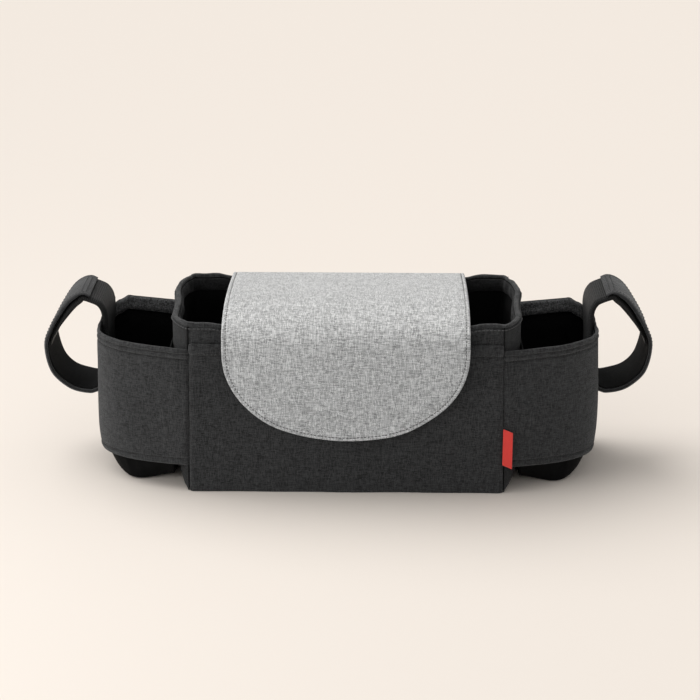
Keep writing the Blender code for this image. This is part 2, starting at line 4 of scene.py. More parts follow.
import bpy
import numpy as np
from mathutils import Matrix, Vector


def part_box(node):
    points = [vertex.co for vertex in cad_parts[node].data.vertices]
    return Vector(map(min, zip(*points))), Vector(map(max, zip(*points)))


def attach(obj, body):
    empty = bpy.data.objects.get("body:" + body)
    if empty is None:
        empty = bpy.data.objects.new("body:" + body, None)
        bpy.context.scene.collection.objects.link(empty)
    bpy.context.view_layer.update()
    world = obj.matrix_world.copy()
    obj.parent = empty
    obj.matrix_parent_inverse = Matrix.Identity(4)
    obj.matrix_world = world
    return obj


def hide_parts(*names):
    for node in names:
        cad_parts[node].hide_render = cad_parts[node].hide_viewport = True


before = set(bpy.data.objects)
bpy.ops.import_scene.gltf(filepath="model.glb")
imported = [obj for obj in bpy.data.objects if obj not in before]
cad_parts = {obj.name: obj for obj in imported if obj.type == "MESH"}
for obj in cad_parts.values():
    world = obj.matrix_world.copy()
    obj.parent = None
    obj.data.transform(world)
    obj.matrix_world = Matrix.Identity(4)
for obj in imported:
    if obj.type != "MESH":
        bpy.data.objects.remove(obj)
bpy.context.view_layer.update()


# Camera and studio: a long lens looks down at the front by a fifth of a right angle, over a pale cream floor.
# A soft key stands high on the left, and the room gives an even fill, so the shadow falls to the right.

AIM = np.array([0.0032, -0.0587, 0.1238])
CAMERA_PITCH = math.radians(20.5)
CAMERA_TURN = math.radians(1.0)
CAMERA_DISTANCE = 1.5
LENS_MM = 96.9
SENSOR_MM = 36.0

camera_data = bpy.data.cameras.new("camera")
camera_data.lens = LENS_MM
camera_data.sensor_width = SENSOR_MM
camera_data.clip_end = 60.0
camera = bpy.data.objects.new("camera", camera_data)
bpy.context.scene.collection.objects.link(camera)
level = math.cos(CAMERA_PITCH)
toward = [level * math.sin(CAMERA_TURN), -level * math.cos(CAMERA_TURN), math.sin(CAMERA_PITCH)]
camera.location = AIM + CAMERA_DISTANCE * np.array(toward)
camera.rotation_euler = (math.pi / 2 - CAMERA_PITCH, 0.0, CAMERA_TURN)
bpy.context.scene.camera = camera

# The floor's cream runs from CREAM_NEAR to CREAM_FAR, painted paler towards the back as painted light.
CREAM_NEAR = (0.850, 0.782, 0.716)
CREAM_FAR = (0.890, 0.817, 0.747)
CREAM_FROM = -0.4
CREAM_TO = 0.3
ROOM_GREY = (0.60, 0.60, 0.60)
ROOM_STRENGTH = 0.51
KEY_FROM = (-0.58, 0.34, 1.0)
KEY_ENERGY = 1.90
KEY_ANGLE = math.radians(58)
WINDOW_PLACE = (-0.85, -0.50, 0.36)
WINDOW_AIM = 0.05
WINDOW_SIZE = 0.6
WINDOW_POWER = 2.4
FLOOR_REACH = 14


def lamp(name, kind, away, settings):
    """A lamp of a kind that shines against the direction away, with its settings by name."""
    data = bpy.data.lights.new(name, kind)
    for setting, value in settings.items():
        setattr(data, setting, value)
    thing = bpy.data.objects.new(name, data)
    bpy.context.scene.collection.objects.link(thing)
    tilt = math.atan2(math.hypot(away[0], away[1]), away[2])
    thing.rotation_euler = (tilt, 0.0, math.atan2(away[1], away[0]) + math.pi / 2)
    return thing


def shader_node(tree, kind, given=None, **settings):
    """A new node in a tree. settings are its properties, and given has a socket or a value for its inputs."""
    node = tree.nodes.new("ShaderNode" + kind)
    for setting, value in settings.items():
        setattr(node, setting, value)
    for place, value in (given or {}).items():
        if isinstance(value, bpy.types.NodeSocket):
            tree.links.new(value, node.inputs[place])
        else:
            node.inputs[place].default_value = value
    return node


def math_node(tree, operation, *terms, clamp=False):
    """The output of a Math node, whose terms are sockets or numbers."""
    given = dict(enumerate(terms))
    return shader_node(tree, "Math", given, operation=operation, use_clamp=clamp).outputs[0]


def new_material(name, constants):
    """A new material, its node tree and its shader, which gets the constants by the names of its inputs."""
    made = bpy.data.materials.new(name)
    made.use_nodes = True
    shader = made.node_tree.nodes["Principled BSDF"]
    for label, value in constants.items():
        shader.inputs[label].default_value = value
    return made, made.node_tree, shader


def paint(tree, shader, share, dark, light, height=None, strength=0.0, distance=0.0):
    """Colours a shader by a share from dark to light. A height raises its face by a bump."""
    given = {0: share, 6: (*dark, 1.0), 7: (*light, 1.0)}
    tint = shader_node(tree, "Mix", given, data_type="RGBA")
    tree.links.new(tint.outputs[2], shader.inputs["Base Color"])
    if height is not None:
        raised = shader_node(tree, "Bump", {"Strength": strength, "Distance": distance, "Height": height})
        tree.links.new(raised.outputs[0], shader.inputs["Normal"])


def cloth_place(tree):
    """The cloth coordinate of a piece, in metres along its threads."""
    return shader_node(tree, "UVMap", uv_map="cloth").outputs[0]


def object_place(tree):
    """The place on a piece in metres."""
    return shader_node(tree, "TexCoord").outputs["Object"]


lamp("key", "SUN", KEY_FROM, {"energy": KEY_ENERGY, "angle": KEY_ANGLE, "color": (1.0, 0.995, 0.985)})
window = lamp("window_fill", "AREA", (WINDOW_PLACE[0], WINDOW_PLACE[1], WINDOW_PLACE[2] - WINDOW_AIM), {
    "shape": "RECTANGLE", "size": WINDOW_SIZE, "size_y": WINDOW_SIZE, "energy": WINDOW_POWER,
    "color": (1.0, 0.995, 0.99)})
window.location = WINDOW_PLACE

bpy.context.scene.view_settings.view_transform = "Standard"
room = bpy.data.worlds.new("room")
room.use_nodes = True
room.node_tree.nodes["Background"].inputs["Color"].default_value = (1.0, 0.995, 0.985, 1.0)
room.node_tree.nodes["Background"].inputs["Strength"].default_value = ROOM_STRENGTH
bpy.context.scene.world = room

# The floor is cream to the camera, and a neutral grey to the light that it throws back on the cloth. Its cream
# is painted paler from front to back, a painted falloff of light across the floor.
floor_paint, floor_tree, floor_shader = new_material("floor_paint", {
    "Roughness": 0.95, "Specular IOR Level": 0.1})
ray = shader_node(floor_tree, "LightPath").outputs
seen = math_node(floor_tree, "MAXIMUM", ray["Is Camera Ray"], ray["Is Glossy Ray"])
seen = math_node(floor_tree, "MAXIMUM", seen, ray["Is Transmission Ray"])
ground = shader_node(floor_tree, "SeparateXYZ", {0: object_place(floor_tree)})
# Painted light: the cream is mixed from the nearer, darker tone to the farther, paler one along Y.
depth = shader_node(floor_tree, "MapRange", {
    "Value": ground.outputs[1], "From Min": CREAM_FROM, "From Max": CREAM_TO})
cream = shader_node(floor_tree, "Mix", {0: depth.outputs[0], 6: (*CREAM_NEAR, 1.0), 7: (*CREAM_FAR, 1.0)},
                    data_type="RGBA")
tint = shader_node(floor_tree, "Mix", {0: seen, 6: (*ROOM_GREY, 1.0), 7: cream.outputs[2]}, data_type="RGBA")
floor_tree.links.new(tint.outputs[2], floor_shader.inputs["Base Color"])
floor_mesh = bpy.data.meshes.new("floor")
floor_corners = [(FLOOR_REACH * x, FLOOR_REACH * y, 0) for x, y in ((-1, -1), (1, -1), (1, 1), (-1, 1))]
floor_mesh.from_pydata(floor_corners, [], [(0, 1, 2, 3)])
floor_mesh.materials.append(floor_paint)
floor = bpy.data.objects.new("floor", floor_mesh)
bpy.context.scene.collection.objects.link(floor)


# Box walls: padded panels of charcoal heather canvas over thin foam, sewn together at the corners.
# The front and back are flat, and a gusset runs round each side, with a soft front corner and a tucked foot.

FRONT_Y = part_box("front_panel")[0].y
BACK_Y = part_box("back_panel")[1].y
BOX_TOP = 0.145
BACK_RISE = 0.003
SEAM_HALF = 0.125
SEAM_FLARE = 0.003
SIDE_HALF = 0.1405
BACK_HALF = 0.136
CORNER_DEPTH = 0.026
CORNER_SHARE = 0.30
CORNER_POWER = 1.43
SIDE_BEND = 0.0873
RIM_BOW = 0.0036
RIM_BOW_BACK = 0.0016
WALL = 0.003
WALL_DROP = 0.0025
WALL_PINCH = 0.0009
WALL_ROWS = np.concatenate([np.linspace(0, 0.93, 52), np.linspace(0.934, 1, 34)])
WING_END = 0.2005
WING_STEP = 0.1925
WING_LOW = 0.022
WING_TOP = 0.123
WING_CLIMB = 0.0055
HOLDER_TOP = 0.123
LEAN = 0.0008
BELLY = 0.0026
CHARCOAL_DARK = (0.0085, 0.0086, 0.0088)
CHARCOAL_LIGHT = (0.060, 0.0604, 0.0615)
# The charcoal's pale yarn, dimmed for the side walls as painted shade.
SIDE_PAINTED_SHADE_LIGHT = (0.034, 0.0343, 0.035)
THREAD_BLACK = (0.018, 0.018, 0.018)
STITCH_PITCH = 0.0031
STITCH_LENGTH = 0.0023
THREAD_RADIUS = 0.00040


def ease(t):
    """0 below 0, 1 above 1, and the soft step 3t^2 - 2t^3 between."""
    t = np.clip(t, 0, 1)
    return t * t * (3 - 2 * t)


def bell(x, width):
    """A smooth hump round 0, exp(-(x / width)^2)."""
    return np.exp(-(x / width) ** 2)


def ripple(a, b, wavelength, seed):
    """A smooth random height from about -1 to 1: the sum of twelve plane waves of about one length."""
    draw = np.random.default_rng(seed)
    total = 0.0
    for angle, stretch, phase in draw.uniform([0, 0.7, 0], [math.pi, 1.6, 2 * math.pi], (12, 3)):
        along = (a * math.cos(angle) + b * math.sin(angle)) / (wavelength * stretch)
        total = total + np.sin(2 * math.pi * along + phase)
    return total / 4.0


def spots(*parts):
    """Points from their coordinates, which are arrays that broadcast together."""
    return np.stack(np.broadcast_arrays(*parts), axis=-1)


def unit(vectors):
    """The vectors at a length of 1."""
    return vectors / np.linalg.norm(vectors, axis=-1, keepdims=True)


def arc(line):
    """How far along a line each of its points lies."""
    return np.concatenate([[0], np.cumsum(np.linalg.norm(np.diff(line, axis=0), axis=1))])


def read(line, along, at):
    """The points of a line at other places along it."""
    return np.stack([np.interp(at, along, column) for column in line.T], axis=-1)


def resample(line, count):
    """The same line, read at evenly spaced places along its length."""
    along = arc(line)
    return read(line, along, np.linspace(0, along[-1], count))


def left_of(line):
    """Directions square to a line in a plane, to its left."""
    run = unit(np.gradient(line, axis=0))
    return spots(-run[:, 1], run[:, 0])


def seam_x(z):
    """Half the width between the front seams: it flares a little towards the ground."""
    return SEAM_HALF + SEAM_FLARE * (1 - z / BOX_TOP)


def side_x(z):
    """Half the box's outer width: a slight taper down, and a tuck into the rounded foot."""
    under = np.clip((0.014 - z) / 0.014, 0, 1)
    return SIDE_HALF - 0.0025 * ease((BOX_TOP - z) / 0.117) - 0.006 * (1 - np.sqrt(1 - under**2))


def rim_z(x, y):
    """Height of the rim: it rises 3 mm to the back, dips where the flap lies on it, and waves a little."""
    share = np.clip((y - FRONT_Y) / (BACK_Y - FRONT_Y), 0, 1)
    flap = ease((0.111 - np.abs(x)) / 0.012)
    wave = 0.0006 * ripple(x, y, 0.05, 3) * (1 - flap)
    return BOX_TOP + BACK_RISE * share - flap * (0.001 + 0.001 * share) + wave


def arc_uv(grid):
    """Cloth coordinates of a grid in metres: the mean length along its rows and along its columns."""
    across = np.linalg.norm(np.diff(grid, axis=1), axis=2).mean(axis=0)
    down = np.linalg.norm(np.diff(grid, axis=0), axis=2).mean(axis=1)
    u = np.concatenate([[0], np.cumsum(across)])
    v = np.concatenate([[0], np.cumsum(down)])
    return np.stack(np.meshgrid(u, v), axis=2)


def grid_quads(rows, columns, wrap=False):
    """Quads of a grid of points, numbered row by row, and the row and column of each corner."""
    r, c = np.meshgrid(np.arange(rows - 1), np.arange(columns if wrap else columns - 1), indexing="ij")
    r = np.stack([r, r, r + 1, r + 1], axis=-1).reshape(-1, 4)
    c = np.stack([c, c + 1, c + 1, c], axis=-1).reshape(-1, 4)
    return r * columns + c % columns, r, c


def finish_piece(name, points, quads, uv, cloth):
    """A smooth closed mesh from points, quads and a cloth coordinate for each corner; its faces are turned
    outwards, and no point lies under the ground."""
    points = np.stack([points[:, 0], points[:, 1], points[:, 2].clip(0.0)], axis=1)
    a, b, c, d = points[quads].swapaxes(0, 1)
    volume = np.einsum("ij,ij->", a, np.cross(b, c)) + np.einsum("ij,ij->", a, np.cross(c, d))
    if volume < 0:
        quads = quads[:, ::-1]
        uv = uv[:, ::-1]
    mesh = bpy.data.meshes.new(name)
    mesh.from_pydata(points.tolist(), [], quads.tolist())
    layer = mesh.uv_layers.new(name="cloth")
    layer.data.foreach_set("uv", np.ascontiguousarray(uv, np.float32).ravel())
    mesh.shade_smooth()
    mesh.materials.append(cloth)
    piece = bpy.data.objects.new(name, mesh)
    bpy.context.scene.collection.objects.link(piece)
    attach(piece, "root")
    return piece


def cloth_sheet(name, outer, inner, cloth, uv=None, roundness=0.45):
    """A closed sheet between two grids of points. Three rows of points round its edge, the middle one set
    outwards by a share of the thickness."""
    rows, columns = outer.shape[:2]
    uv = arc_uv(outer) if uv is None else uv
    r, c = np.meshgrid(np.arange(rows), np.arange(columns), indexing="ij")
    sides = (np.s_[0, :-1], np.s_[:-1, -1], np.s_[-1, :0:-1], np.s_[:0:-1, 0])
    er = np.concatenate([r[side] for side in sides])
    ec = np.concatenate([c[side] for side in sides])
    nr = np.clip(er, 1, rows - 2)
    nc = np.clip(ec, 1, columns - 2)
    front, rear = outer[er, ec], inner[er, ec]
    out = front - outer[nr, nc] + rear - inner[nr, nc]
    out /= np.maximum(np.linalg.norm(out, axis=1), 1e-9)[:, None]
    thick = np.linalg.norm(front - rear, axis=1)[:, None]
    middle = (front + rear) / 2 + out * thick * roundness
    shoulder = (middle * 0.5 + front * 0.5) + out * thick * 0.12
    heel = (middle * 0.5 + rear * 0.5) + out * thick * 0.12
    points = np.concatenate([outer.reshape(-1, 3), inner.reshape(-1, 3), shoulder, middle, heel])

    def strips(rings):
        """Quads between each ring of the edge and the next, as point numbers or cloth coordinates."""
        pairs = zip(rings[:-1], rings[1:])
        return [np.stack([a, np.roll(a, -1, 0), np.roll(b, -1, 0), b], axis=1)[:, ::-1] for a, b in pairs]

    count = rows * columns
    edge = er * columns + ec
    many = np.arange(len(edge))
    rings = [edge] + [2 * count + k * len(edge) + many for k in range(3)] + [edge + count]
    faces, fr, fc = grid_quads(rows, columns)
    step = uv[er, ec] - uv[nr, nc]
    step = step / np.maximum(np.linalg.norm(step, axis=1), 1e-9)[:, None] * thick * 0.3
    edge_uv = [uv[er, ec] + step * k for k in range(5)]
    quads = np.concatenate([faces, faces[:, ::-1] + count] + strips(rings))
    corner_uv = uv[fr, fc]
    all_uv = np.concatenate([corner_uv, corner_uv[:, ::-1]] + strips(edge_uv))
    return finish_piece(name, points, quads, all_uv, cloth)


def closed_band(name, rings, cloth, caps=False):
    """A surface through closed rings of points. Shrinking rings cap its two ends, or else they join."""
    rings = np.asarray(rings, float)
    if caps:
        first, last = rings[0].mean(axis=0), rings[-1].mean(axis=0)
        shrink = np.array([0.02, 0.25, 0.5, 0.75, 0.93])[:, None, None]
        rings = np.concatenate([
            first + (rings[0] - first) * shrink, rings, last + (rings[-1] - last) * shrink[::-1]])
    count, around = rings.shape[:2]
    laid = rings if caps else np.concatenate([rings, rings[:1]])
    uv = arc_uv(np.concatenate([laid, laid[:, :1]], axis=1))
    quads, r, c = grid_quads(len(laid), around, wrap=True)
    return finish_piece(name, rings.reshape(-1, 3), quads % (count * around), uv[r, c], cloth)


def new_group(name, place, values):
    """A shader node group to fill: a place and numbers go in, and Shade and Height come out."""
    group = bpy.data.node_groups.new(name, "ShaderNodeTree")
    group.interface.new_socket(place, in_out="INPUT", socket_type="NodeSocketVector")
    for label, value in values.items():
        socket = group.interface.new_socket(label, in_out="INPUT", socket_type="NodeSocketFloat")
        socket.default_value = value
    for label in ("Shade", "Height"):
        group.interface.new_socket(label, in_out="OUTPUT", socket_type="NodeSocketFloat")
    return group, group.nodes.new("NodeGroupInput").outputs, group.nodes.new("NodeGroupOutput").inputs


def heather_group():
    """Plain weave of heather yarn, dyed in short random lengths. The crossings show warp and weft by turns.
    Shade goes from 0, the darkest yarn, to 1, the palest, and Height is the crown of each crossing."""
    values = {"Yarn": 0.0005, "Streak": 0.003, "Contrast": 1.0, "Weave": 0.3, "Mottle": 0.1}
    group, given, made = new_group("heather_canvas", "Cloth", values)

    def calculate(operation, *terms, clamp=False):
        return math_node(group, operation, *terms, clamp=clamp)

    def chance(line, place):
        """A random number for each whole number of a line and a place."""
        pair = shader_node(group, "CombineXYZ", {0: line, 1: place}).outputs[0]
        return shader_node(group, "TexWhiteNoise", {"Vector": pair}, noise_dimensions="2D").outputs["Value"]

    def dye(line, along, offset):
        """The shade of one set of yarns: a new one after each streak, which starts anywhere on a yarn."""
        lengths = calculate("DIVIDE", along, given["Streak"])
        first = calculate("MULTIPLY_ADD", chance(line, offset), 9.0, lengths)
        return chance(line, calculate("FLOOR", calculate("ADD", first, offset + 0.5)))

    def crown(yarns):
        """The round back of each yarn."""
        return calculate("ABSOLUTE", calculate("SINE", calculate("MULTIPLY", yarns, math.pi)))

    split = shader_node(group, "SeparateXYZ", {0: given["Cloth"]}).outputs
    across_u = calculate("DIVIDE", split[0], given["Yarn"])
    across_v = calculate("DIVIDE", split[1], given["Yarn"])
    column = calculate("FLOOR", across_u)
    row = calculate("FLOOR", across_v)
    turn = calculate("FLOORED_MODULO", calculate("ADD", column, row), 2.0)
    shown = shader_node(group, "Mix", {0: turn, 2: dye(column, split[1], 20.0), 3: dye(row, split[0], 90.0)})
    cloud = shader_node(group, "TexNoise", {"Vector": given["Cloth"], "Scale": 150.0, "Detail": 3.0})
    clouds = calculate("MULTIPLY", calculate("SUBTRACT", cloud.outputs["Fac"], 0.5), given["Mottle"])
    checks = calculate("MULTIPLY", calculate("SUBTRACT", turn, 0.5), given["Weave"])
    centred = calculate("SUBTRACT", shown.outputs[0], 0.5)
    flecks = calculate("MULTIPLY_ADD", centred, given["Contrast"], calculate("ADD", clouds, checks))
    group.links.new(calculate("ADD", flecks, 0.5, clamp=True), made["Shade"])
    group.links.new(calculate("MULTIPLY", crown(across_u), crown(across_v)), made["Height"])
    return group


heather = heather_group()


def heather_cloth(name, dark, light, yarn, streak, contrast, mottle, bump, sheen, weave=0.30):
    """Heather canvas as a material: yarns between a dark and a light colour, matt, with some fuzz."""
    made, tree, shader = new_material(name, {
        "Specular IOR Level": 0.25, "Sheen Weight": sheen, "Sheen Roughness": 0.45})
    threads = shader_node(tree, "Group", {
        "Cloth": cloth_place(tree), "Yarn": yarn, "Streak": streak, "Contrast": contrast, "Weave": weave,
        "Mottle": mottle}, node_tree=heather)
    shade, height = threads.outputs["Shade"], threads.outputs["Height"]
    paint(tree, shader, shade, dark, light, height, bump, 0.0004)
    rough = shader_node(tree, "MapRange", {"Value": shade, "To Min": 0.95, "To Max": 0.78})
    tree.links.new(rough.outputs[0], shader.inputs["Roughness"])
    return made


charcoal = heather_cloth(
    "charcoal_heather", CHARCOAL_DARK, CHARCOAL_LIGHT, 0.0005, 0.0032, 1.2, 0.14, 0.5, 0.20)
# The side walls get a darker copy of the charcoal canvas: painted shade, for side walls that stand less lit.
side_canvas_painted_shade = heather_cloth("side_canvas_painted_shade", CHARCOAL_DARK, SIDE_PAINTED_SHADE_LIGHT, 0.0005, 0.0032, 1.2, 0.14, 0.5, 0.10)


def thread_material(name, colour):
    """Twisted polyester thread: one dyed colour with fine slanting ply lines."""
    made, tree, shader = new_material(name, {"Roughness": 0.55})
    given = {"Vector": object_place(tree), "Scale": 1400.0}
    ply = shader_node(tree, "TexWave", given, bands_direction="DIAGONAL")
    paint(tree, shader, ply.outputs["Fac"], [0.55 * c for c in colour], colour)
    return made


dark_thread = thread_material("dark_thread", THREAD_BLACK)


def sew(name, paths, thread, pitch=STITCH_PITCH):
    """Lock stitches along paths, each of points and outward directions. A stitch is a short spindle of six
    sides whose two ends dive into the cloth."""
    share = np.array([-0.5, -0.36, 0.0, 0.36, 0.5])
    plump = np.array([0.30, 0.85, 1.0, 0.85, 0.30]) * THREAD_RADIUS
    dive = np.array([-0.9, -0.15, 0.25, -0.15, -0.9]) * THREAD_RADIUS
    turn = np.radians(np.arange(6) * 60.0)
    stitches = []
    for line, outward in paths:
        length = arc(line)
        centres = np.arange(pitch * 0.6, length[-1] - pitch * 0.5, pitch)
        at = centres[:, None] + share * STITCH_LENGTH * pitch / STITCH_PITCH
        spot = read(line, length, at)
        along = unit(np.gradient(spot, axis=1))
        up = read(outward, length, at)
        up = unit(up - (up * along).sum(axis=2, keepdims=True) * along)
        side = np.cross(along, up)
        spot = spot + up * dive[:, None]
        swing = np.cos(turn)[:, None] * up[:, :, None] + np.sin(turn)[:, None] * side[:, :, None]
        stitches.append((spot[:, :, None] + swing * plump[:, None, None]).reshape(-1, 30, 3))
    points = np.concatenate(stitches)
    ends = np.array([[0, 3, 2, 1], [0, 5, 4, 3], [24, 25, 26, 27], [24, 27, 28, 29]])
    one = np.concatenate([grid_quads(5, 6, wrap=True)[0], ends])
    quads = (one[None] + 30 * np.arange(len(points))[:, None, None]).reshape(-1, 4)
    piece = finish_piece(name, points.reshape(-1, 3), quads, np.zeros((len(quads), 4, 2)), thread)
    return piece


def edge_distance(x, z, outline):
    """The distance of each point of a grid from a closed outline, in a flat plane."""
    a = np.asarray(outline, float)
    best = np.full(x.shape, np.inf)
    for (ax, az), (bx, bz) in zip(a, np.roll(a, -1, axis=0)):
        run = (bx - ax) ** 2 + (bz - az) ** 2
        t = np.clip(((x - ax) * (bx - ax) + (z - az) * (bz - az)) / max(run, 1e-15), 0, 1)
        best = np.minimum(best, np.hypot(x - ax - t * (bx - ax), z - az - t * (bz - az)))
    return best


def rounded_edge(distance, radius):
    """How far a puffed panel has risen at a distance from its edge: a quarter circle of that radius."""
    inward = np.clip(1 - distance / radius, 0, 1)
    return np.sqrt(1 - inward**2)


def rim_relief(below):
    """The wall's face near its top: drawn in under the rim, then a ridge where the folded strip ends."""
    return 0.0007 * bell(below - 0.0017, 0.0006) - WALL_PINCH * bell(below, 0.0013)


def front_panel():
    """Flat padded panel between the seams, y = front + dip at the seams; its top runs up into the binding."""
    u = np.linspace(-1, 1, 121)
    top = rim_z(SEAM_HALF * u, FRONT_Y) - WALL_DROP
    z = WALL_ROWS[:, None] * top
    x = (seam_x(z) - 0.0005) * u
    dip = 0.0026 - 0.0026 * rounded_edge(seam_x(z) - np.abs(x), 0.004)
    outer = spots(x, FRONT_Y + dip - rim_relief(top - z), z)
    piece = cloth_sheet("front_wall", outer, spots(x, FRONT_Y + WALL, z), charcoal)
    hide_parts("front_panel")


def side_plan(inset, z, stretch, end_y=BACK_Y - 0.0033):
    """The plan of a side wall at each height: from the front seam round the soft corner to the back panel, as
    stretch runs from 0 to 1. The corner is |x|^1.4 + |y|^1.4 = 1, scaled, and the rim bows out a little."""
    seam = seam_x(z) + 0.0008
    side = side_x(z) - inset
    bend_y = FRONT_Y + SIDE_BEND
    turn = np.clip(stretch / CORNER_SHARE, 0, 1) * math.pi / 2
    x = seam + (side - seam) * np.sin(turn) ** CORNER_POWER
    y = FRONT_Y + CORNER_DEPTH - (CORNER_DEPTH - inset) * np.cos(turn) ** CORNER_POWER
    back = np.clip((stretch - CORNER_SHARE) / (1 - CORNER_SHARE), 0, 1)
    y = y + (end_y - (FRONT_Y + CORNER_DEPTH)) * back
    x = x - (SIDE_HALF - BACK_HALF) * np.clip((y - bend_y) / (BACK_Y - bend_y), 0, 1)
    depth = y - FRONT_Y
    bow = RIM_BOW * ease((depth - 0.050) / 0.040) * ease((0.1195 - depth) / 0.014)
    x = x + (bow - RIM_BOW_BACK * ease((depth - 0.096) / 0.022)) * ease((z - 0.124) / 0.016)
    return x, np.maximum(y, FRONT_Y + inset) + 0 * x


def gusset(word, side):
    """A side wall: the foam swells softly between the seams, and the cloth tucks into them."""
    s = np.linspace(0, 1, 96)[None, :]
    top = rim_z(*side_plan(0.0, BOX_TOP, s)) - WALL_DROP
    z = WALL_ROWS[:, None] * top
    swell = 0.0010 * np.sin(math.pi * s) + 0.0005 * ripple(s * 0.12, z, 0.035, 11 + side)
    swell = swell * ease((top - z) / 0.04)
    dip = 0.0026 * (1 - rounded_edge(s * 0.11, 0.0035)) + 0.0011 * (1 - rounded_edge((1 - s) * 0.11, 0.003))
    dip = dip - rim_relief(top - z)
    x, y = side_plan(0.0, z, s)
    x = x + (swell - dip) * ease(s / 0.25)
    y = y + (dip - 0.4 * swell) * (1 - ease(s / 0.3))
    in_x, in_y = side_plan(WALL, z, s)
    # The side wall takes the darker copy of the charcoal, a painted shade.
    piece = cloth_sheet(f"{word}_side_wall", spots(side * x, y, z), spots(side * in_x, in_y, z), side_canvas_painted_shade)
    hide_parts(f"{word}_gusset")


def lean(z):
    """How far in a cup holder's outer wall lies at a height: it leans in evenly and bellies out halfway."""
    down = (1 - z / HOLDER_TOP).clip(0, 1)
    return LEAN * down - 4 * BELLY * down * (1 - down)


def back_top(x):
    """Height of the back panel's top edge: the rim, then a wing that climbs and steps down outside."""
    a = np.abs(x)
    wing = WING_TOP + WING_CLIMB * (a.clip(BACK_HALF, WING_STEP) - BACK_HALF) / (WING_STEP - BACK_HALF)
    wing = wing - 0.0042 * ease((a - WING_STEP + 0.005) / 0.008)
    wing = wing - 0.0045 * ((a - WING_END + 0.008) / 0.008).clip(0) ** 3
    return np.where(a > BACK_HALF, wing, rim_z(x, BACK_Y) - WALL_DROP)


def back_panel():
    """One padded panel cut with a wing behind each cup holder, and a seam down each corner of the box."""
    half = np.concatenate([
        np.linspace(0, BACK_HALF - 0.0002, 74), np.linspace(BACK_HALF + 0.0002, WING_STEP - 0.006, 30),
        np.linspace(WING_STEP - 0.005, WING_END, 26)])
    x = np.concatenate([-half[:0:-1], half])
    low = np.where(np.abs(x) > BACK_HALF, WING_LOW, 0.0)
    top = back_top(x)
    right = [(BACK_HALF, 0), (BACK_HALF, WING_LOW), (WING_END, WING_LOW)]
    outline = [(-a, b) for a, b in right[::-1]] + right + [(a, b) for a, b in zip(x[::-3], top[::-3])]
    z = low + np.linspace(0, 1, 76)[:, None] * (top - low)
    outside = ((np.abs(x) - BACK_HALF) / (WING_END - BACK_HALF)).clip(0)
    grid_x = x - np.sign(x) * outside * lean(z)
    away = edge_distance(grid_x, z, outline)
    rise = rounded_edge(away, 0.0022)
    seam = 0.0011 * bell(np.abs(grid_x) - BACK_HALF + 0.001, 0.0011)
    swell = 0.0007 * ripple(grid_x, z, 0.055, 5) * rounded_edge(away, 0.012)
    outer = spots(grid_x, BACK_Y - 0.0013 + 0.0013 * rise - seam + swell * 0.8, z)
    inner = spots(grid_x, BACK_Y - WALL + 0.0010 - 0.0010 * rise, z)
    piece = cloth_sheet("back_wall", outer[:, ::-1], inner[:, ::-1], charcoal)
    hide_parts("back_panel")
    seams = [spots(place, BACK_Y + 0.0001, np.linspace(0.137, 0.004, 60))
             for place in (-BACK_HALF + 0.0042, BACK_HALF - 0.0042)]
    run = np.linspace(BACK_HALF + 0.001, WING_END - 0.001, 40)
    seams += [spots(side * run, BACK_Y + 0.0001, back_top(run) - 0.0105) for side in (-1, 1)]
    paths = [(line, np.tile([0.0, 1.0, 0.0], (len(line), 1))) for line in seams]
    sew("back_wall_stitching", paths, dark_thread)


front_panel()
gusset("left", -1)
gusset("right", 1)
back_panel()


# Rim: a strip of the same canvas folded over the raw top edges of walls and lining, sewn through all layers.
# It comes out as a thin lumpy roll, with a row of stitches close below it that holds the folded strip down.

BINDING_DEPTH = 0.0024
ROLL_MIDDLE = 0.0025
ROLL_HALF = 0.0021
ROLL_POWER = 0.71
RIM_SEAM = 0.0041


def box_plan(inset, z, corner=0.004):
    """Plan of the whole box as closed rows of points: the front, a side with its back corner, the back, and
    the mirrored side. inset and z have one value for each row."""
    inset = np.asarray(inset, float)[:, None]
    z = np.asarray(z, float)[:, None]
    x, y = side_plan(inset, z, np.linspace(0, 1, 72)[None], BACK_Y - inset - corner)
    turn = np.linspace(0, math.pi / 2, 8)[None, 1:]
    x = np.concatenate([x, x[:, -1:] - corner + corner * np.cos(turn)], axis=1)
    y = np.concatenate([y, BACK_Y - inset - corner + corner * np.sin(turn)], axis=1)
    across = np.linspace(-1, 1, 90)[None, 1:-1]
    flat = 0 * across
    loop_x = np.concatenate([seam_x(z) * across, x, -x[:, -1:] * across, -x[:, ::-1]], axis=1)
    loop_y = np.concatenate([FRONT_Y + inset + flat, y, BACK_Y - inset + flat, y[:, ::-1]], axis=1)
    return loop_x, loop_y


def rim_rings(inset, drop):
    """Rings that follow the rim at an inset from the box's outer face, each a drop below it."""
    loop_x, loop_y = box_plan(inset, np.full(len(inset), BOX_TOP))
    z = rim_z(*box_plan([0.0], [BOX_TOP])) - np.asarray(drop, float)[:, None]
    return spots(loop_x, loop_y, z)


def rim_guide():
    """The ring along the box's outer face at the rim, and the level direction inwards from its points."""
    guide = rim_rings([0.0], [0.0])[0]
    toward = rim_rings([0.001], [0.0])[0] - guide
    toward[:, 2] = 0
    return guide, unit(toward)


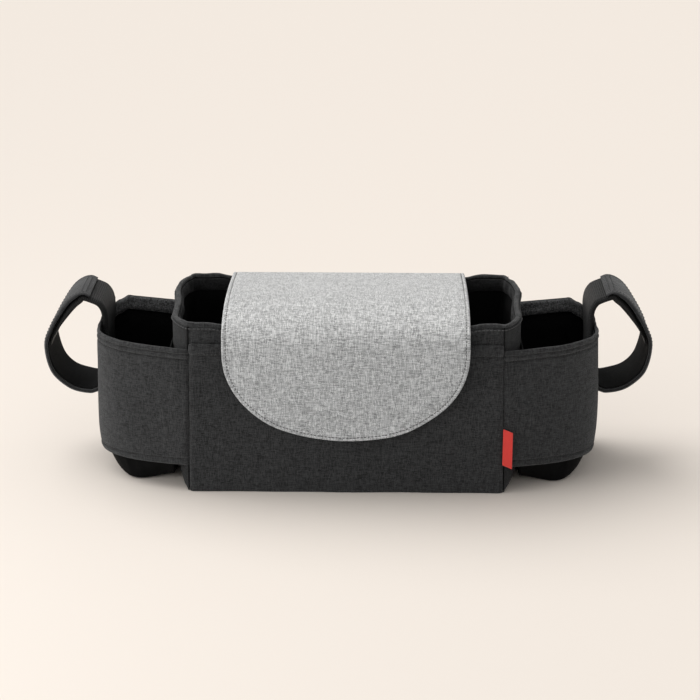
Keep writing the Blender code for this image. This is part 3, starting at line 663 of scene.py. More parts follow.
def rim_binding():
    """The roll's section is half a superellipse, inset = sin^0.71 and drop = cos^0.71, over a slot."""
    turn = np.radians(np.linspace(-90, 90, 23))
    over = np.sign(np.sin(turn)) * np.abs(np.sin(turn)) ** ROLL_POWER
    crown = np.cos(turn).clip(0) ** ROLL_POWER
    inset = np.concatenate([ROLL_MIDDLE + ROLL_HALF * over, [0.0040, 0.0040, 0.0025, 0.0010, 0.0010]])
    drop = np.concatenate([BINDING_DEPTH * (1 - crown), [0.0022, 0.0014, 0.0011, 0.0014, 0.0022]])
    rings = rim_rings(inset, drop)
    guide, toward = rim_guide()
    free = 1 - ease((0.106 - np.abs(guide[:, 0])) / 0.012)
    lumps = ripple(guide[:, 0], guide[:, 1], 0.011, 21) * free * 0.0003
    lumps = lumps + ripple(guide[:, 0], guide[:, 1], 0.030, 22) * free * 0.0006
    rings[:, :, 2] += lumps * np.concatenate([crown, np.zeros(5)])[:, None]
    twist = ripple(guide[:, 0], guide[:, 1], 0.014, 23) * 0.0003
    swing = np.concatenate([over * crown**0.3, np.zeros(5)])[:, None] * twist
    piece = closed_band("rim_roll", rings + swing[:, :, None] * toward, charcoal)
    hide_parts("rim_binding")


rim_binding()
seam_line, wall_line = rim_rings(np.array([-0.0007, 0.001]), np.full(2, RIM_SEAM))
around = np.arange(len(seam_line) + 1) % len(seam_line)
rim_thread = thread_material("rim_thread", (0.085, 0.085, 0.086))
sew("rim_stitching", [(seam_line[around], (seam_line - wall_line)[around])], rim_thread)


# Inside of the box: a bag of thin black nylon, caught in the rim, with a facing of canvas at its top.
# It is sewn only at the top, so it falls in loose folds down the walls.

LINING_FLOOR = 0.0059
LINING_TOP = 0.137
LINING_OUT = 0.0033
LINING_IN = 0.0045
FACING_LOW = 0.0135
NYLON = (0.0034, 0.0034, 0.0035)
FACING_DARK = (0.0035, 0.0035, 0.0036)
FACING_LIGHT = (0.026, 0.026, 0.027)


def twill_group():
    """Fine twill: slanting ridges on the cloth, with a slow drift in the shade."""
    group, given, made = new_group("nylon_twill", "Cloth", {"Pitch": 0.0007})
    split = shader_node(group, "SeparateXYZ", {0: given["Cloth"]}).outputs
    slant = math_node(group, "MULTIPLY_ADD", split[1], 1.4, split[0])
    turns = math_node(group, "MULTIPLY", math_node(group, "DIVIDE", slant, given["Pitch"]), 6.2832)
    ridge = math_node(group, "SINE", turns)
    drift = shader_node(group, "TexNoise", {"Vector": given["Cloth"], "Scale": 60.0, "Detail": 3.0})
    shade = math_node(group, "MULTIPLY_ADD", ridge, 0.25, drift.outputs["Fac"], clamp=True)
    group.links.new(shade, made["Shade"])
    group.links.new(ridge, made["Height"])
    return group


twill = twill_group()


def twill_cloth(name, dark, light, pitch, bump, constants):
    """Twill as a material: between a dark and a light colour, with fine raised ridges."""
    made, tree, shader = new_material(name, constants)
    weave = shader_node(tree, "Group", {"Cloth": cloth_place(tree), "Pitch": pitch}, node_tree=twill)
    paint(tree, shader, weave.outputs["Shade"], dark, light, weave.outputs["Height"], bump, 0.0002)
    return made


black_nylon = twill_cloth("black_nylon", [0.5 * c for c in NYLON], [1.9 * c for c in NYLON], 0.0007, 0.35,
                          {"Roughness": 0.7, "Specular IOR Level": 0.07})
shaded_canvas = heather_cloth("shaded_canvas", FACING_DARK, FACING_LIGHT, 0.0007, 0.0014, 0.9, 0.2, 0.5, 0.10)


def box_lining():
    """Rings up the outside of the bag and down its inside, which a ripple in arc and height folds."""
    up = np.concatenate([[LINING_FLOOR], np.linspace(0.012, LINING_TOP, 30)])
    outer = spots(*box_plan(np.full(len(up), LINING_OUT), up), up[:, None])
    mouth = rim_rings([LINING_OUT, LINING_IN], [0.0024, 0.0024])
    down = np.concatenate([np.linspace(LINING_TOP, 0.012, 52), [LINING_FLOOR + 0.0018]])
    inner = spots(*box_plan(np.full(len(down), LINING_IN), down), down[:, None])
    further = spots(*box_plan(np.full(len(down), LINING_IN + 0.001), down), down[:, None])
    along = arc(inner[0])[None]
    fold = ripple(along, inner[:, :, 2] * 0.45, 0.045, 31) + 0.5 * ripple(along, inner[:, :, 2], 0.02, 32)
    fold = (0.0011 + 0.0011 * fold).clip(0) * np.sin(math.pi * np.linspace(0, 1, len(down)))[:, None] ** 0.7
    inner = inner + unit(further - inner) * fold[:, :, None]
    piece = closed_band("box_lining_bag", np.concatenate([outer, mouth, inner]), black_nylon, caps=True)
    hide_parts("box_lining")


def inner_facing():
    """A closed strip under the roll, inside the box. Its face swells and wrinkles above its lower edge."""
    turn = np.linspace(0, 1, 17)
    behind = [FACING_LOW + 0.0002, FACING_LOW, 0.009, 0.0032]
    drop = np.concatenate([0.0030 + (FACING_LOW - 0.0030) * turn, behind])
    rings = rim_rings(np.concatenate([np.full(17, 0.0053), [0.0051, 0.0048, 0.0047, 0.0047]]), drop)
    along = arc(rings[0])[None]
    guide, inward = rim_guide()
    on_side = ease((np.abs(guide[:, 0]) - 0.110) / 0.02)[None]
    depth = drop[:17, None]
    puff = 0.0009 * np.sin(math.pi * turn)[:, None] ** 0.6 * (0.7 + 0.5 * on_side)
    crease = ripple(along + 0.6 * depth, depth * 0.8 + 0.2 * along, 0.0135, 41) * (0.15 + 0.85 * on_side)
    puff = puff + 0.00085 * crease * np.sin(math.pi * np.clip(turn * 1.05, 0, 1))[:, None] ** 0.5
    rings[:17] += puff[:, :, None].clip(-0.0004) * inward
    piece = closed_band("inner_facing", rings, shaded_canvas)


def board_card():
    """The stiffener's grey card, mottled by its fibres."""
    made, tree, shader = new_material("board_card", {"Roughness": 0.7})
    fibres = shader_node(tree, "TexNoise", {"Vector": object_place(tree), "Scale": 400.0})
    paint(tree, shader, fibres.outputs["Fac"], (0.03, 0.03, 0.03), (0.07, 0.07, 0.07))
    return made


def bottom_panel():
    """The canvas bottom: a flat padded sheet inside the four walls, raised a little at its seams."""
    y = FRONT_Y + 0.0034 + np.linspace(0, 1, 44)[:, None] * (BACK_Y - FRONT_Y - 0.0068)
    reach_x, reach_y = side_plan(0.0034, np.zeros((1, 1)), np.linspace(0, 1, 200)[None], BACK_Y - 0.0034)
    half = np.interp(y[:, 0], reach_y[0], reach_x[0])[:, None]
    x = half * np.linspace(-1, 1, 90)[None, :]
    edge = np.minimum(np.minimum(half - np.abs(x), y - y.min()), y.max() - y)
    dome = 0.0008 * (1 - rounded_edge(edge, 0.0025))
    dome = dome + 0.0002 * (1 + ripple(x, y, 0.06, 9)) * rounded_edge(edge, 0.01)
    piece = cloth_sheet("bottom_wall", spots(x, y, dome), spots(x, y, WALL), charcoal)
    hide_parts("bottom_panel")


box_lining()
inner_facing()
bottom_panel()
card = board_card()
for slot in bpy.data.objects["base_board"].material_slots:
    slot.material = card


# Front pocket: a second panel of canvas over the front, sewn in at both seams and the foot.
# Its top is folded over and stitched, and stands a little off the wall, so the mouth shows as a dark line.

POCKET_TOP = 0.1280
POCKET_FOOT = 0.0006
POCKET_HEM = 0.0088
POCKET_OUT = 0.0025


def front_pocket():
    """y = front - 2.5 mm - puff: rounded at the seams, a valley at the hem stitches, a slow wave between."""
    u = np.linspace(-1, 1, 150)[None, :]
    v = np.concatenate([np.linspace(0, 0.91, 90), np.linspace(0.912, 1, 34)])[:, None]
    top = POCKET_TOP + (0.0004 * np.sin(3.1 * u + 0.5) + 0.0003 * np.sin(7.3 * u + 1.0)) * (1 - u**4)
    z = POCKET_FOOT + v * (top - POCKET_FOOT)
    x = (seam_x(z) - 0.0005) * u
    down = top - z
    fold = rounded_edge(down, 0.0016) * rounded_edge(np.maximum(POCKET_HEM - down, 0), 0.0018)
    side = rounded_edge(seam_x(z) - np.abs(x), 0.0040)
    foot = rounded_edge(z, 0.005)
    puff = 0.0005 * fold * (down < POCKET_HEM) - 0.0008 * bell(down - POCKET_HEM, 0.0011)
    puff = puff + 0.00045 * ripple(x, z * 0.7, 0.07, 51) * ease(down / 0.03) * side
    puff = puff + 0.0016 * bell(down, 0.014) * (1 - u**2)
    outer = spots(x, FRONT_Y - POCKET_OUT + 0.0021 * (1 - side) + 0.0011 * (1 - foot) - puff, z)
    stand_off = 0.0028 * bell(down, 0.012) * (1 - u**2)
    piece = cloth_sheet("front_pocket_panel", outer, spots(x, FRONT_Y - 0.0003 - stand_off, z), charcoal)
    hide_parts("front_pocket")
    drop = POCKET_HEM - 0.0009
    row = outer[np.argmin(np.abs(down - drop), axis=0), np.arange(u.size)]
    row[:, 2] = top[0] - drop
    paths = [(row[3:-3], np.tile([0.0, -1.0, 0.0], (len(row) - 6, 1)))]
    sew("pocket_hem_stitching", paths, dark_thread)


front_pocket()


# Closure: a patch of loop tape on the pocket and one of hook tape under the flap, both hidden by the flap.
# Both are woven tapes with a fine pile, and each is sewn down flat along its edge.

PATCH_HALF_WIDTH = 0.0349
PATCH_HALF_HEIGHT = 0.0099
PATCH_MIDDLE = 0.0660
PATCH_THICK = 0.0010
PILE_DARK = (0.003, 0.003, 0.003)


def pile_group():
    """Hook and loop tape: a fine knobbly pile, whose shade drifts slowly."""
    group, given, made = new_group("tape_pile", "Place", {"Scale": 900.0})
    cells = shader_node(group, "TexVoronoi", {"Vector": given["Place"], "Scale": given["Scale"]})
    drift = shader_node(group, "TexNoise", {"Vector": given["Place"], "Scale": 120.0})
    shade = math_node(group, "MULTIPLY", cells.outputs["Distance"], drift.outputs["Fac"])
    group.links.new(shade, made["Shade"])
    group.links.new(cells.outputs["Distance"], made["Height"])
    return group


pile = pile_group()


def pile_tape(name, light, scale):
    """Black hook or loop tape as a material: near black, dull, with a strong fine bump."""
    made, tree, shader = new_material(name, {"Roughness": 0.9, "Specular IOR Level": 0.2})
    knobs = shader_node(tree, "Group", {"Place": object_place(tree), "Scale": scale}, node_tree=pile)
    paint(tree, shader, knobs.outputs["Shade"], PILE_DARK, light, knobs.outputs["Height"], 0.8, 0.0004)
    return made


loop_tape = pile_tape("loop_tape", (0.016, 0.016, 0.016), 900.0)
hook_tape = pile_tape("hook_tape", (0.012, 0.012, 0.012), 1300.0)


def patch(name, node, near, cloth):
    """A rectangle of tape with rounded corners on a flat face, its pile slightly uneven."""
    u = np.linspace(-1, 1, 41)[None, :]
    v = np.linspace(-1, 1, 17)[:, None]
    x = PATCH_HALF_WIDTH * u * np.sqrt(1 - 0.004 * v**2)
    z = PATCH_MIDDLE + PATCH_HALF_HEIGHT * v + 0 * u
    y = FRONT_Y - near - PATCH_THICK + 0.0001 * (1 + ripple(x, z, 0.004, 61))
    piece = cloth_sheet(name, spots(x, y, z), spots(x, FRONT_Y - near, z), cloth, roundness=0.2)
    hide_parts(node)


patch("pocket_loop_tape", "pocket_loop_patch", POCKET_OUT + 0.0003, loop_tape)
patch("flap_hook_tape", "flap_hook_patch", POCKET_OUT + 0.0016, hook_tape)


# Cover flap: pale grey heather canvas with a black lining, turned out and topstitched along its edge.
# Sewn to the back wall and stiff, it arches over the box, bends in a wide curve and hangs down the front.

FLAP_HALF = 0.098
FLAP_ROUND_Z = 0.125
FLAP_END_Z = 0.0483
FLAP_POWER = 2.15
FLAP_FRONT = 0.0054
FLAP_BACK = 0.1228
FLAP_SEWN_Z = 0.116
FLAP_SEAM = 0.0027
BACK_BEND = 0.0024
CROWN_Y = 0.050
CROWN_Z = 0.1520
BEND_LOW = 0.128
BEND_OUT = 0.0100
BEND_POWER = 2.5
FLAP_COLUMNS = 0.55 * np.sin(np.radians(np.linspace(-90, 90, 121))) + 0.45 * np.linspace(-1, 1, 121)
PALE_DARK = (0.235, 0.237, 0.238)
PALE_LIGHT = (0.965, 0.965, 0.96)
SMOOTH_TO = 0.085
ROUGH_FROM = 0.145
SMOOTH_CONTRAST = 0.75
ROUGH_CONTRAST = 1.2

pale_heather = heather_cloth(
    "pale_heather", PALE_DARK, PALE_LIGHT, 0.00045, 0.0034, 1.2, 0.04, 0.5, 0.15, weave=0.35)

# The cloth is pulled smooth over the arch, so its flecks show more on the hanging part.
pale_tree = pale_heather.node_tree
pale_split = shader_node(pale_tree, "SeparateXYZ", {0: pale_tree.nodes["UV Map"].outputs[0]})
pale_range = shader_node(pale_tree, "MapRange", {
    "Value": pale_split.outputs[1], "From Min": SMOOTH_TO, "From Max": ROUGH_FROM,
    "To Min": SMOOTH_CONTRAST, "To Max": ROUGH_CONTRAST})
pale_tree.links.new(pale_range.outputs[0], pale_tree.nodes["Group"].inputs["Contrast"])
grey_thread = thread_material("grey_thread", (0.15, 0.15, 0.15))


def flap_path():
    """The under face in Y and Z, with Y from the front wall: up the back wall, a quarter turn over the rim,
    an arch that rises by a sine, a quarter superellipse of power 2.5 and a fall to the lower edge."""
    back_rim = float(rim_z(0.0, BACK_Y)) + 0.0003
    sewn = BACK_Y - FRONT_Y + 0.0003
    rise = np.linspace(0, 1, 12)
    climb_z = FLAP_SEWN_Z + (back_rim - 2 * BACK_BEND - FLAP_SEWN_Z) * rise
    climb = spots(sewn + (FLAP_BACK - sewn) * ease(rise), climb_z)
    turn = np.radians(np.linspace(0, 90, 9))
    over = spots(FLAP_BACK - BACK_BEND * (1 - np.cos(turn)), back_rim - BACK_BEND * (1 - np.sin(turn)))
    s = np.linspace(0, 1, 30)[1:-1]
    arch_y = over[-1, 0] + (CROWN_Y - over[-1, 0]) * s
    arch = spots(arch_y, back_rim + (CROWN_Z - back_rim) * np.sin(math.pi / 2 * s))
    turn = np.radians(np.linspace(0, 90, 40))
    bend = spots(CROWN_Y - (CROWN_Y + BEND_OUT) * np.sin(turn) ** (2 / BEND_POWER),
                 BEND_LOW + (CROWN_Z - BEND_LOW) * np.cos(turn).clip(0) ** (2 / BEND_POWER))
    fall = np.linspace(0, 1, 50)[1:]
    hang = spots(-BEND_OUT + (BEND_OUT - FLAP_FRONT) * ease(fall), BEND_LOW + (FLAP_END_Z - BEND_LOW) * fall)
    return resample(np.concatenate([climb, over, arch, bend, hang]), 240)


def round_share(path):
    """How far down the rounded end each point of a path lies, from 0 to 1."""
    fallen = (FLAP_ROUND_Z - path[:, 1]) / (FLAP_ROUND_Z - FLAP_END_Z)
    return np.where(path[:, 0] < 0, fallen, 0).clip(0, 1)


def flap_layer(name, near, thick, narrower, cloth, detail):
    """One layer: the path carried across, its half width a superellipse of power 2.15 below the bend.
    The outer face is puffed inside the edge, with a valley under the stitches, and waves softly."""
    path = flap_path()
    along = arc(path)
    first_round = along[np.argmax(round_share(path) > 0)]
    below = np.radians(np.linspace(0, 88.5, 80))
    rounded = first_round + (along[-1] - first_round) * np.sin(below)
    rows = np.concatenate([np.linspace(0, first_round, 92)[:-1], rounded])
    mid = read(path, along, rows)
    out = unit(read(-left_of(path), along, rows))
    half = FLAP_HALF * (1 - round_share(mid) ** FLAP_POWER).clip(0) ** (1 / FLAP_POWER) - narrower
    x = half[:, None] * FLAP_COLUMNS
    outline = np.concatenate([spots(half, rows), spots(-half, rows)[::-1]])
    length = rows[:, None]
    edge = edge_distance(x, np.broadcast_to(length, x.shape), outline)
    span = ease((length - 0.045) / 0.03) * ease((0.165 - length) / 0.02)
    hang = ease((length - 0.175) / 0.05)
    wave = 0.0006 * ripple(x, length * 0.6, 0.10, 71) * span
    wave = wave + 0.0006 * (1 + ripple(x, length * 0.7, 0.085, 72)) * hang
    wave = wave + 0.0010 * hang * ease(1 - edge / 0.02) * ripple(x, length, 0.06, 73).clip(-0.6)
    puff = 0.0
    if detail:
        puff = -0.0005 * (1 - rounded_edge(edge, 0.0010)) - 0.0005 * bell(edge - FLAP_SEAM, 0.0007)
        puff = puff + 0.00025 * bell(edge - 0.0012, 0.0007)

    def face(lift):
        """The layer's face at a distance out from the path."""
        return spots(x, FRONT_Y + mid[:, :1] + out[:, :1] * lift, mid[:, 1:] + out[:, 1:] * lift)

    outer = face(near + thick + wave + puff)
    return cloth_sheet(name, outer, face(near + wave), cloth, uv=spots(x, length)), outer, rows, half


lining = flap_layer("flap_underside", 0.0, 0.0010, 0.0008, black_nylon, False)[0]
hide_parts("flap_lining")
facing, flap_face, flap_rows, flap_half = flap_layer("flap_face", 0.0011, 0.0016, 0.0, pale_heather, True)
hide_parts("flap_shell")


def flap_stitching():
    """A row of stitches inside the edge: straight down both sides, a superellipse round the lower edge."""
    inside = FLAP_HALF - FLAP_SEAM
    first = flap_rows[90]
    angle = np.radians(np.linspace(0, 180, 400))[1:-1]
    round_x = inside * np.sign(np.cos(angle)) * np.abs(np.cos(angle)) ** (2 / FLAP_POWER)
    round_row = first + (flap_rows[-1] - first - FLAP_SEAM) * np.sin(angle) ** (2 / FLAP_POWER)
    straight = np.linspace(0.012, first, 160)
    line_x = np.concatenate([np.full(160, inside), round_x, np.full(160, -inside)])
    line_row = np.concatenate([straight, round_row, straight[::-1]])
    row_at = np.interp(line_row, flap_rows, np.arange(len(flap_rows)))
    r = np.floor(row_at).astype(int).clip(0, len(flap_rows) - 2)
    t = (row_at - r)[:, None]

    def on_row(row):
        """The points of the flap's face on given rows, at the line's place across."""
        share = np.clip(line_x / np.maximum(flap_half[row], 1e-6), -1, 1)
        at = np.interp(share, FLAP_COLUMNS, np.arange(121))
        c = np.floor(at).astype(int).clip(0, 119)
        w = (at - c)[:, None]
        return flap_face[row, c] * (1 - w) + flap_face[row, c + 1] * w

    points = on_row(r) * (1 - t) + on_row(r + 1) * t
    points[:, 0] = line_x
    path = flap_path()
    run = np.gradient(path, axis=0)
    out = read(spots(run[:, 1], -run[:, 0]), arc(path), line_row)
    return resample(np.column_stack([points, np.zeros(len(points)), out]), 1400)


stitch_data = flap_stitching()
sew("flap_topstitching", [(stitch_data[:, :3], stitch_data[:, 3:])], grey_thread, pitch=0.0029)


# Cup holders: a sleeve of the charcoal canvas goes from the front seam round to the back corner of the wing.
# Its rim and lower edge are folded and stitched, and its outer wall bellies out a little between them.

CUP_OUT = 0.206
CUP_DEPTH = 0.0645
CUP_POWER = 3.1
CUP_CORNER = 0.0055
SLEEVE = 0.002
SLEEVE_LOW = 0.024
SLEEVE_HEM = 0.0080
RIM_ROW = 0.0038
LOW_HEM = 0.0046


def sleeve_plan(z, inset, count=132):
    """The sleeve's plan at each height: x = start + reach (1 - w^3.1), y = depth (1 - w) with w from 1 to 0,
    then straight back, then a quarter circle. Returns x, y, the outward direction and the upright plan."""
    w = 1 - np.linspace(0, 1, 160)
    start = SEAM_HALF + 0.0007
    turn = np.radians(np.linspace(0, 90, 14))
    bulge = spots(start + (CUP_OUT - start) * (1 - w**CUP_POWER), -POCKET_OUT + CUP_DEPTH * (1 - w))
    corner_y = BACK_Y - FRONT_Y - CUP_CORNER * (1 - np.sin(turn))
    corner = spots(CUP_OUT - CUP_CORNER * (1 - np.cos(turn)), corner_y)
    line = resample(np.concatenate([bulge, corner]), count)
    out = -left_of(line)
    begin = seam_x(z) + 0.0008
    x = begin + (CUP_OUT - lean(z) - begin) * (line[:, 0] - start) / (CUP_OUT - start) - inset * out[:, 0]
    y = line[:, 1] - inset * out[:, 1] + 0 * x
    x[:, 0] = begin[:, 0]
    return x, FRONT_Y + y, out, line


def sleeve(word, side):
    """Rows run from the lower edge to the rim, columns along the plan. The face moves along its normal."""
    v = np.concatenate([np.linspace(0, 0.06, 14), np.linspace(0.068, 0.88, 66), np.linspace(0.885, 1, 26)])
    middle = sleeve_plan(np.full((1, 1), 0.06), 0.0)[3]
    share = np.clip((middle[:, 0] - SEAM_HALF) / (CUP_OUT - SEAM_HALF), 0, 1)
    along = arc(middle)
    low = SLEEVE_LOW - 0.0035 * share
    top = HOLDER_TOP + 0.004 * ease((middle[:, 1] - 0.075) / 0.035)
    top = top + 0.0003 * ripple(along, 0, 0.045, 81 + side)
    z = low + v[:, None] * (top - low)
    x, y, out, _ = sleeve_plan(z[:, :1], 0.0)
    up = z - low
    down = top - z
    outer_wall = ease((share - 0.45) / 0.4) * ease((BACK_Y - FRONT_Y - CUP_CORNER - middle[:, 1]) / 0.03)
    tuck = 0.0010 * outer_wall * np.clip((0.0045 - up) / 0.0045, 0, 1) ** 2
    rim_hem = 0.00035 * rounded_edge(down, 0.0012) * (down < SLEEVE_HEM)
    rim_hem = rim_hem - 0.0012 * bell(down - SLEEVE_HEM, 0.0010) - 0.0010 * bell(down - RIM_ROW, 0.0008)
    low_hem = 0.0003 * rounded_edge(up, 0.0012) * (up < LOW_HEM) - 0.0012 * bell(up - LOW_HEM, 0.0010)
    body = ease(down / 0.03) * ease(up / 0.02)
    soft = 0.0007 * ripple(along, z * 0.6, 0.06, 83 + side) * body
    soft = soft + 0.00025 * ripple(along * 1.6, z * 0.35, 0.018, 85 + side) * np.exp(-along / 0.03) * body
    edge_wave = 0.00035 * ripple(along, 0, 0.012, 87 + side) * bell(down - 0.004, 0.006) * ease(along / 0.01)
    seams = 0.0027 * (1 - rounded_edge(along, 0.0040)) + 0.0010 * (1 - rounded_edge(along[-1] - along, 0.003))
    lift = rim_hem + low_hem + soft + edge_wave - seams
    x = x + 0 * z
    outer = spots(side * (x - tuck + out[:, 0] * lift), y + out[:, 1] * lift, z)
    back_x = x - tuck - out[:, 0] * (SLEEVE - edge_wave)
    back_x[:, 0] = np.maximum(back_x[:, 0], x[:, 0])
    inner = spots(side * back_x, y - out[:, 1] * (SLEEVE - edge_wave), z)
    piece = cloth_sheet(f"{word}_sleeve", outer, inner, charcoal)
    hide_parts(f"{word}_cup_sleeve")
    paths = []
    outward = spots(side * out[:, 0], out[:, 1], 0.0)
    for drop, away, height in ((SLEEVE_HEM, down, top - SLEEVE_HEM), (RIM_ROW, down, top - RIM_ROW),
                               (LOW_HEM, up, low + LOW_HEM)):
        row = outer[np.argmin(np.abs(away - drop), axis=0), np.arange(len(along))]
        row[:, 2] = height
        paths.append((row[3:-2], outward[3:-2]))
    sew(f"{word}_sleeve_stitching", paths, dark_thread)


# Pouches: inside each sleeve hangs a bag of black nylon, which lines the mouth and narrows to a small base.
# It is cut in gores and hangs free below the sleeve, where its base shows as a black bag end.

POUCH_LOW = 0.001
POUCH_TAPER = 0.031
POUCH_POWER = 0.34
POUCH_WALL = 0.0012
POUCH_GATHER = 0.018
BASE_X = 0.1625
BASE_Y = 0.061
BASE_HALF_X = 0.0215
BASE_HALF_Y = 0.0435
BASE_POWER = 0.8
BASE_CUT = 0.178
MOUTH_HALF = 0.0649


def pouch_mouth(inset):
    """The mouth's plan at an inset, in 160 points: the sleeve's inner face, the wing and the box's wall."""
    near = SIDE_HALF + 0.0003 + inset
    px, py, _, _ = sleeve_plan(np.full((1, 1), HOLDER_TOP), SLEEVE + 0.0003 + inset, count=400)
    back = BACK_Y - WALL - 0.0003 - inset
    curve = spots(px[0], np.minimum(py[0], back))
    curve = curve[curve[:, 0] >= near]
    line = np.concatenate([curve, [[near, back], [near, curve[0, 1] + 0.0005]], curve[:1]])
    return resample(line, 161)[:-1]


def pouch(word, side):
    """Rings up the outside and down the inside. A ring blends a superellipse base with the mouth's plan by
    height^0.34, and vertical folds grow where the cloth is drawn together."""
    up = np.concatenate([POUCH_LOW + 0.043 * np.linspace(0, 1, 34) ** 1.5, np.linspace(0.05, 0.1, 10)])
    rings = []
    for levels, inset in ((up, 0.0), (up[::-1], POUCH_WALL)):
        full = pouch_mouth(inset)
        centre = (SIDE_HALF + CUP_OUT) / 2
        rise = (full[:, 1] - FRONT_Y - MOUTH_HALF) / MOUTH_HALF
        swing = np.arctan2(rise, (full[:, 0] - centre) / (CUP_OUT - centre))
        reach = spots(np.cos(swing), np.sin(swing))
        reach = np.sign(reach) * np.abs(reach) ** BASE_POWER
        base = [BASE_X, FRONT_Y + BASE_Y] + reach * [BASE_HALF_X - inset, BASE_HALF_Y - inset]
        base[:, 1] += 0.5 * (BASE_CUT - base[:, 0]).clip(0) * (base[:, 1] < FRONT_Y + BASE_Y)
        outside = ((full[:, 0] - SIDE_HALF) / (CUP_OUT - SIDE_HALF)).clip(0)
        for z in levels:
            share = np.clip((z - POUCH_LOW) / POUCH_TAPER, 0, 1)
            plan = base + (full - base) * share**POUCH_POWER
            plan[:, 0] -= lean(z) * outside * share
            middle = plan.mean(axis=0)
            gather = POUCH_GATHER * np.sin(math.pi * min(share * 1.15, 1.0))
            gather = gather * ripple(swing * 0.02, np.full(swing.shape, z * 0.12), 0.011, 91)
            plan = middle + (plan - middle) * (1 - np.abs(gather) * 0.8)[:, None]
            rings.append(spots(side * plan[:, 0], plan[:, 1], max(z, POUCH_LOW + inset)))
        if inset == 0.0:
            for hem in (0.0, POUCH_WALL):
                full = pouch_mouth(hem)
                at_back = ease((full[:, 1] - (BACK_Y - WALL - 0.006)) / 0.004)
                wing = back_top(np.maximum(full[:, 0], BACK_HALF + 0.0003)) - 0.0100
                rings.append(spots(side * full[:, 0], full[:, 1], 0.121 + (wing - 0.121) * at_back))
    piece = closed_band(f"{word}_pouch", rings, black_nylon, caps=True)
    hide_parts(f"{word}_cup_pouch")


# Wing facings: along the top of each wing a band of canvas covers the nylon's edge. It is sewn along its
# lower edge and turned over the wing's top, so it reads as a soft, rounded bolster behind the cup's mouth.

BAND_HEIGHT = 0.0112
BAND_SWELL = 0.0042
# The wing facing's canvas is a paler copy of the charcoal: painted light, for the band as it stands lit along
# the wing's top.
FACING_PAINTED_LIGHT = (0.115, 0.116, 0.118)
lit_facing_canvas = heather_cloth(
    "lit_facing_canvas", CHARCOAL_DARK, FACING_PAINTED_LIGHT, 0.00072, 0.0014, 1.1, 0.2, 0.5, 0.25)


def wing_facing(word, side):
    """A band that follows the wing's top edge: it swells from its stitched lower edge to a rounded top."""
    x = np.linspace(SIDE_HALF + 0.0022, WING_END - 0.0008, 70)[None, :]
    v = np.linspace(0, 1, 26)[:, None]
    top = back_top(np.maximum(x, BACK_HALF + 0.0003))
    low = top - BAND_HEIGHT + 0.0004 * np.sin(80 * x)
    z = low + v * (top - low)
    up = z - low
    swell = BAND_SWELL * (1 - v) * rounded_edge(up, 0.0025) - 0.0006 * bell(up - 0.0022, 0.0008)
    swell = swell - 0.0011 * (1 - rounded_edge(top - z, 0.0018))
    swell = swell + 0.00045 * ripple(x, z, 0.013, 95 + side) * np.sin(math.pi * v)
    base = BACK_Y - WALL - 0.0003
    outer = spots(side * x, base - 0.0015 - swell, z)
    # The band takes the paler, painted-light copy of the charcoal.
    piece = cloth_sheet(f"{word}_facing", outer, spots(side * x, base, z), lit_facing_canvas)
    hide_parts(f"{word}_wing_facing")
    line = outer[5, 1:-1] - [0.0, 0.0001, 0.0]
    paths = [(line, np.tile([0.0, -1.0, 0.0], (len(line), 1)))]
    sew(f"{word}_facing_stitching", paths, dark_thread)


for word, side in (("left", -1), ("right", 1)):
    sleeve(word, side)
    pouch(word, side)
    wing_facing(word, side)


# Strap loops: a canvas strap, faced with soft loop tape, leaves the sleeve's outer wall, goes up and over,
# and closes with a patch of hook tape on a ribbed webbing end that comes up out of the cup.

STRAP_FRONT = FRONT_Y + 0.062
STRAP_WIDTH = 0.050
STRAP = 0.0031
STRAP_LOW = 0.0612
STRAP_REACH = 0.0475
STRAP_HEIGHT = 0.0885
STRAP_SHAPE = (
    (0.006, 0.010), (0.105, -0.003), (0.232, -0.013), (0.516, 0.025), (0.726, 0.094), (0.874, 0.184),
    (0.954, 0.308), (0.987, 0.438), (0.968, 0.529), (0.891, 0.625), (0.789, 0.732), (0.642, 0.856),
    (0.509, 0.938), (0.362, 0.986), (0.240, 0.995), (0.143, 0.973))
TAPE_IN = 0.0035
TAPE_OUT = 0.0040
HOOK_OUT = 0.0048
LAYER_GAP = 0.0003
OVERLAP = 0.068
WEBBING = 0.0048
WEBBING_RISE = ((0.2002, 0.085), (0.2000, 0.103), (0.1990, 0.116), (0.1984, 0.1255), (0.1994, 0.1335),
                (0.2022, 0.1392), (0.2068, 0.1430))
RIGHT_LIFT = 0.0033
RIB_PITCH = 0.0017
YARN_PITCH = 0.0011
STRAP_DARK = (0.008, 0.008, 0.0082)
STRAP_LIGHT = (0.040, 0.040, 0.042)


def smooth_curve(points, count):
    """A Catmull-Rom curve through the points, read at evenly spaced places."""
    ends = np.concatenate([[2 * points[0] - points[1]], points, [2 * points[-1] - points[-2]]])
    t = np.linspace(0, 1, 16, endpoint=False)[:, None]
    a, b, c, d = ends[:-3, None], ends[1:-2, None], ends[2:-1, None], ends[3:, None]
    dense = 0.5 * (2 * b + (c - a) * t + (2 * a - 5 * b + 4 * c - d) * t**2 + (3 * b - a - 3 * c + d) * t**3)
    return resample(np.concatenate([dense.reshape(-1, 2), points[-1:]]), count)


def strap_contour(lift):
    """The strap's outer face in X and Z: out of the wall low down, round a loop, and over to the free end."""
    points = np.array(STRAP_SHAPE) * [STRAP_REACH, STRAP_HEIGHT] + [CUP_OUT, STRAP_LOW + lift]
    points[0, 0] -= lean(points[0, 1])
    return smooth_curve(points, 400)


def flattening(line):
    """How thick the layers are along a line, from 1 down to 0.42 where a seam presses the free end flat."""
    along = arc(line)
    return 1 - 0.58 * ease((along - along[-1] + 0.016) / 0.012)


def move_aside(line, distance):
    """A line in X and Z moved to its left by a distance, which may change along it."""
    return line + np.reshape(distance, (-1, 1)) * left_of(line)


